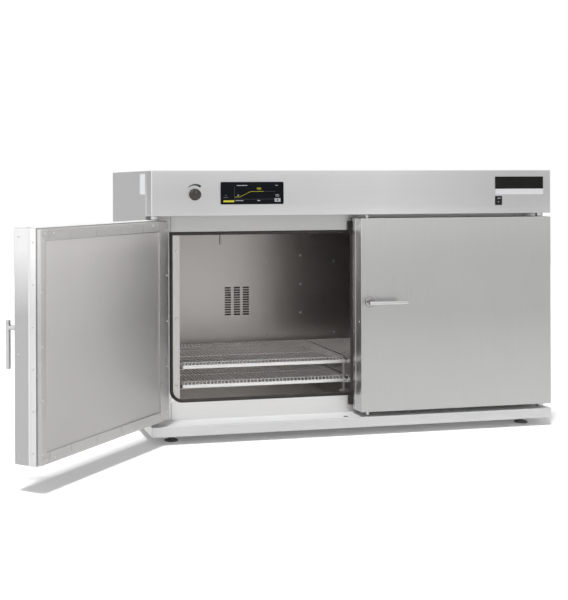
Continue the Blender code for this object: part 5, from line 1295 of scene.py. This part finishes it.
def makeHingePins(side):
    word = "left" if side < 0 else "right"
    x, d = side * oven["hingeX"], oven["hingeDepth"]
    # nut, neck, collar, journal
    upper = [(0, 0.0078), (0.013, 0.0078), (0.013, 0.0018), (0.0077, 0.0018), (0.0077, -0.0003),
             (0.0128, -0.0003), (0.0140, -0.0012), (0.0140, -0.0105), (0.0128, -0.0117),
             (0.008, -0.0117), (0.008, -0.0370), (0.007, -0.038), (0, -0.038)]
    lower = [(0, 0.041), (0.007, 0.041), (0.008, 0.040), (0.008, 0.0147), (0.0128, 0.0147),
             (0.0140, 0.0135), (0.0140, 0.0012), (0.0128, 0.0003), (0.0077, 0.0003),
             (0.0077, -0.0018), (0.013, -0.0018), (0.013, -0.0078), (0, -0.0078)]
    for end, profile, z in (("upper", upper, oven["panelBottom"]), ("lower", lower, oven["baseTop"])):
        pin = latheMesh(f"{word}{end.title()}HingePin", profile, at(x, d, z), (0, 0, 1), polishedSteel, 36)
        placed(pin, "cabinet", (f"{word}_{end}_hinge_pin",))


for handleSide in (-1, 1):
    makeHandle(handleSide)
    makeBolts(handleSide)
    makeHingePins(handleSide)

print("rear")
rear = dict(ventX=0.279, ventZ=0.3199, rows=6, pitch=0.018, length=0.120, face=0.815)


def makeRear():
    # one pressed hood, open below
    hoodX, rise, tall = rear["length"] / 2 + 0.004, 0.0060, 0.0110
    bm = bmesh.new()
    columns = 13
    rows = []
    for i in range(5):
        share = i / 4
        row = []
        for j in range(columns):
            across = -1 + 2 * j / (columns - 1)
            edge = min(1.0, (1 - abs(across)) * 6)
            y = rise * math.sin(math.radians(90 * (1 - share))) * math.sqrt(edge)
            row.append(bm.verts.new((across * hoodX, y + 0.0001, share * tall)))
        rows.append(row)
    for i in range(4):
        for j in range(columns - 1):
            bm.faces.new((rows[i][j], rows[i][j + 1], rows[i + 1][j + 1], rows[i + 1][j]))
    hood = fromBmesh("hood", bm, None)
    thick = hood.modifiers.new("sheet", "SOLIDIFY")
    thick.thickness = 0.0008
    thick.offset = -1
    plainMesh(hood)
    tree = hoodTree()
    for side, word in ((-1, "Left"), (1, "Right")):
        start = at(side * rear["ventX"], rear["face"], rear["ventZ"] - 0.0005)
        seedMesh = bpy.data.meshes.new("seed")
        hoods = grown("rearLouvres" + word, seedMesh, tree, {
            "Hood": hood, "Rows": rear["rows"], "Pitch": rear["pitch"], "Start": start,
            "Finish": casingSteel})
        placed(hoods, "cabinet")
    bpy.data.objects.remove(hood, do_unlink=True)
    out = (0, 1, 0)
    points = []
    for x in (-0.755, -0.5, -0.25, 0.0, 0.25, 0.5, 0.755):
        points += [(at(x, rear["face"], 0.020), out), (at(x, rear["face"], 0.925), out)]
    for side in (-1, 1):
        for z in (0.19, 0.36, 0.53, 0.70):
            points.append((at(side * 0.755, rear["face"], z), out))
    screws("rearScrews", points, "cabinet", diameter=0.008, seed=21)
    # gland with a hexagon nut and an empty bore
    place = at(0.650, 0.8153, 0.120)
    turned = (
        ("glandCap", [(0, 0.0110), (0.0122, 0.0110), (0.0120, 0.0150), (0.0112, 0.0195), (0.0085, 0.022),
                      (0.006, 0.022), (0.006, 0.006), (0, 0.006)], 32, 35.0),
        ("glandNut", [(0, 0), (0.0158, 0), (0.0158, 0.0038), (0.0150, 0.0045), (0, 0.0045)], 6, 20.0),
        ("glandNeck", [(0, 0.0045), (0.0118, 0.0045), (0.0118, 0.0115), (0, 0.0115)], 32, 35.0))
    gland = [latheMesh(name, profile, place, (0, 1, 0), switchPlastic, steps, smooth)
             for name, profile, steps, smooth in turned]
    placed(joinedPieces("cableGland", gland), "cabinet", ("cable_gland",))


makeRear()

print("carried-over parts")
finishes = {
    "rear_panel": casingSteel, "front_frame": frameSteel, "chamber_shell": liningSteel,
    "insulation_blanket": rockWool, "inner_back_panel": zincSteel, "left_air_duct": ductSteel,
    "right_air_duct": ductSteel, "centre_shelf_stand": wireSteel, "left_fan_motor": motorPaint,
    "right_fan_motor": motorPaint, "left_heater": heaterSteel, "right_heater": heaterSteel,
    "temperature_probe": chamberSteel, "exhaust_duct": zincSteel, "display_housing": switchPlastic,
    "left_door_core": rockWool, "right_door_core": rockWool, "left_lock_case": zincSteel,
    "right_lock_case": zincSteel, "left_fan_wheel": heaterSteel, "right_fan_wheel": heaterSteel,
}
for node, mat in finishes.items():
    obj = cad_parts[node]
    obj.data.materials.clear()
    obj.data.materials.append(mat)
makeSideLabel()
bpy.data.objects.remove(screwHead, do_unlink=True)

print("camera and light")
shot = dict(place=(-1.5581, -4.2643, 0.9004), yaw=12.108, roll=-0.1948, lens=67.19, shiftX=0.2008,
            shiftY=-0.1965)


def makeCamera():
    data = bpy.data.cameras.new("camera")
    data.lens = shot["lens"]
    data.sensor_width = 36
    data.sensor_fit = "AUTO"
    data.shift_x = shot["shiftX"]
    data.shift_y = shot["shiftY"]
    data.clip_end = 60
    cam = bpy.data.objects.new("camera", data)
    bpy.context.scene.collection.objects.link(cam)
    cam.location = shot["place"]
    turn = Matrix.Rotation(math.radians(-shot["yaw"]), 4, "Z") @ Matrix.Rotation(math.pi / 2, 4, "X")
    cam.rotation_euler = (turn @ Matrix.Rotation(math.radians(shot["roll"]), 4, "Z")).to_euler()
    bpy.context.scene.camera = cam


studio = dict(worldLevel=0.50, glossLevel=0.82, behind=0.76, leftGlow=1.3, rightShade=0.84,
              above=1.42, sunPower=2.7, sunWidth=7.0, sunWay=(0.15, 0.21, -1.0), fillPower=9.0,
              floorColour=0.87, floorReflected=0.76, floorGlow=0.12)


def makeStudio():
    scene = bpy.context.scene
    scene.view_settings.view_transform = "Standard"
    world = bpy.data.worlds.new("studio")
    scene.world = world
    world.use_nodes = True
    nodes, links = world.node_tree.nodes, world.node_tree.links
    nodes.clear()
    out = nodes.new("ShaderNodeOutputWorld")
    paths = nodes.new("ShaderNodeLightPath")
    soft = nodes.new("ShaderNodeBackground")
    soft.inputs["Strength"].default_value = studio["worldLevel"]
    soft.inputs["Color"].default_value = (1, 1, 1, 1)
    gloss = nodes.new("ShaderNodeBackground")
    gloss.inputs["Strength"].default_value = studio["glossLevel"]
    way = nodes.new("ShaderNodeTexCoord")
    split = nodes.new("ShaderNodeSeparateXYZ")
    links.new(way.outputs["Generated"], split.inputs[0])
    shade = rangeOf(nodes, links, split.outputs["Y"], 1.0, studio["behind"], 0.0, 0.7)
    left = rangeOf(nodes, links, split.outputs["X"], studio["leftGlow"], 1.0, -1.0, -0.6)
    right = rangeOf(nodes, links, split.outputs["X"], 1.0, studio["rightShade"], 0.1, 0.55)
    high = rangeOf(nodes, links, split.outputs["Z"], 1.0, studio["above"], 0.05, 0.7)
    for other in (left, right, high):
        product = nodes.new("ShaderNodeMath")
        product.operation = "MULTIPLY"
        links.new(shade, product.inputs[0])
        links.new(other, product.inputs[1])
        shade = product.outputs[0]
    links.new(shade, gloss.inputs["Color"])
    bright = nodes.new("ShaderNodeBackground")
    bright.inputs["Strength"].default_value = 1.0
    either = nodes.new("ShaderNodeMath")
    either.operation = "MAXIMUM"
    links.new(paths.outputs["Is Glossy Ray"], either.inputs[0])
    links.new(paths.outputs["Is Transmission Ray"], either.inputs[1])
    first = nodes.new("ShaderNodeMixShader")
    links.new(either.outputs[0], first.inputs["Fac"])
    links.new(soft.outputs[0], first.inputs[1])
    links.new(gloss.outputs[0], first.inputs[2])
    second = nodes.new("ShaderNodeMixShader")
    links.new(paths.outputs["Is Camera Ray"], second.inputs["Fac"])
    links.new(first.outputs[0], second.inputs[1])
    links.new(bright.outputs[0], second.inputs[2])
    bright.inputs["Color"].default_value = (1, 1, 1, 1)
    links.new(second.outputs[0], out.inputs["Surface"])

    mat, nodes, links, shader = newMaterial("studioFloor")
    grain = noise(nodes, links, objectPattern(nodes, links), 30.0)
    level, seen = studio["floorReflected"], nodes.new("ShaderNodeLightPath")
    tint = mixColours(nodes, links, seen.outputs["Is Camera Ray"], (level,) * 3, (studio["floorColour"],) * 3)
    links.new(tint, shader.inputs["Base Color"])
    links.new(rangeOf(nodes, links, grain, 0.9, 1.0), shader.inputs["Roughness"])
    glow = mixColours(nodes, links, seen.outputs["Is Camera Ray"], (0, 0, 0), (studio["floorGlow"],) * 3)
    links.new(glow, shader.inputs["Emission Color"])
    shader.inputs["Emission Strength"].default_value = 1.0
    shader.inputs["Specular IOR Level"].default_value = 0.0
    bm = bmesh.new()
    size = 7
    bm.faces.new([bm.verts.new((a * size, b * size, -0.0292))
                  for a, b in ((-1, -1), (1, -1), (1, 1), (-1, 1))])
    floor = fromBmesh("studioFloor", bm, mat)

    light = bpy.data.lights.new("sun", "SUN")
    light.energy = studio["sunPower"]
    light.angle = math.radians(studio["sunWidth"])
    sun = bpy.data.objects.new("sun", light)
    scene.collection.objects.link(sun)
    sun.visible_glossy = False
    sun.rotation_euler = Vector(studio["sunWay"]).to_track_quat("-Z", "Y").to_euler()
    light = bpy.data.lights.new("fillLight", "AREA")
    light.shape = "RECTANGLE"
    light.size = light.size_y = 2.4
    light.energy = studio["fillPower"]
    fill = bpy.data.objects.new("fillLight", light)
    scene.collection.objects.link(fill)
    fill.location = (-2.6, -3.6, 2.2)
    fill.rotation_euler = (Vector((0, 0, 0.45)) - fill.location).to_track_quat("-Z", "Y").to_euler()


makeCamera()
makeStudio()

print("finish")
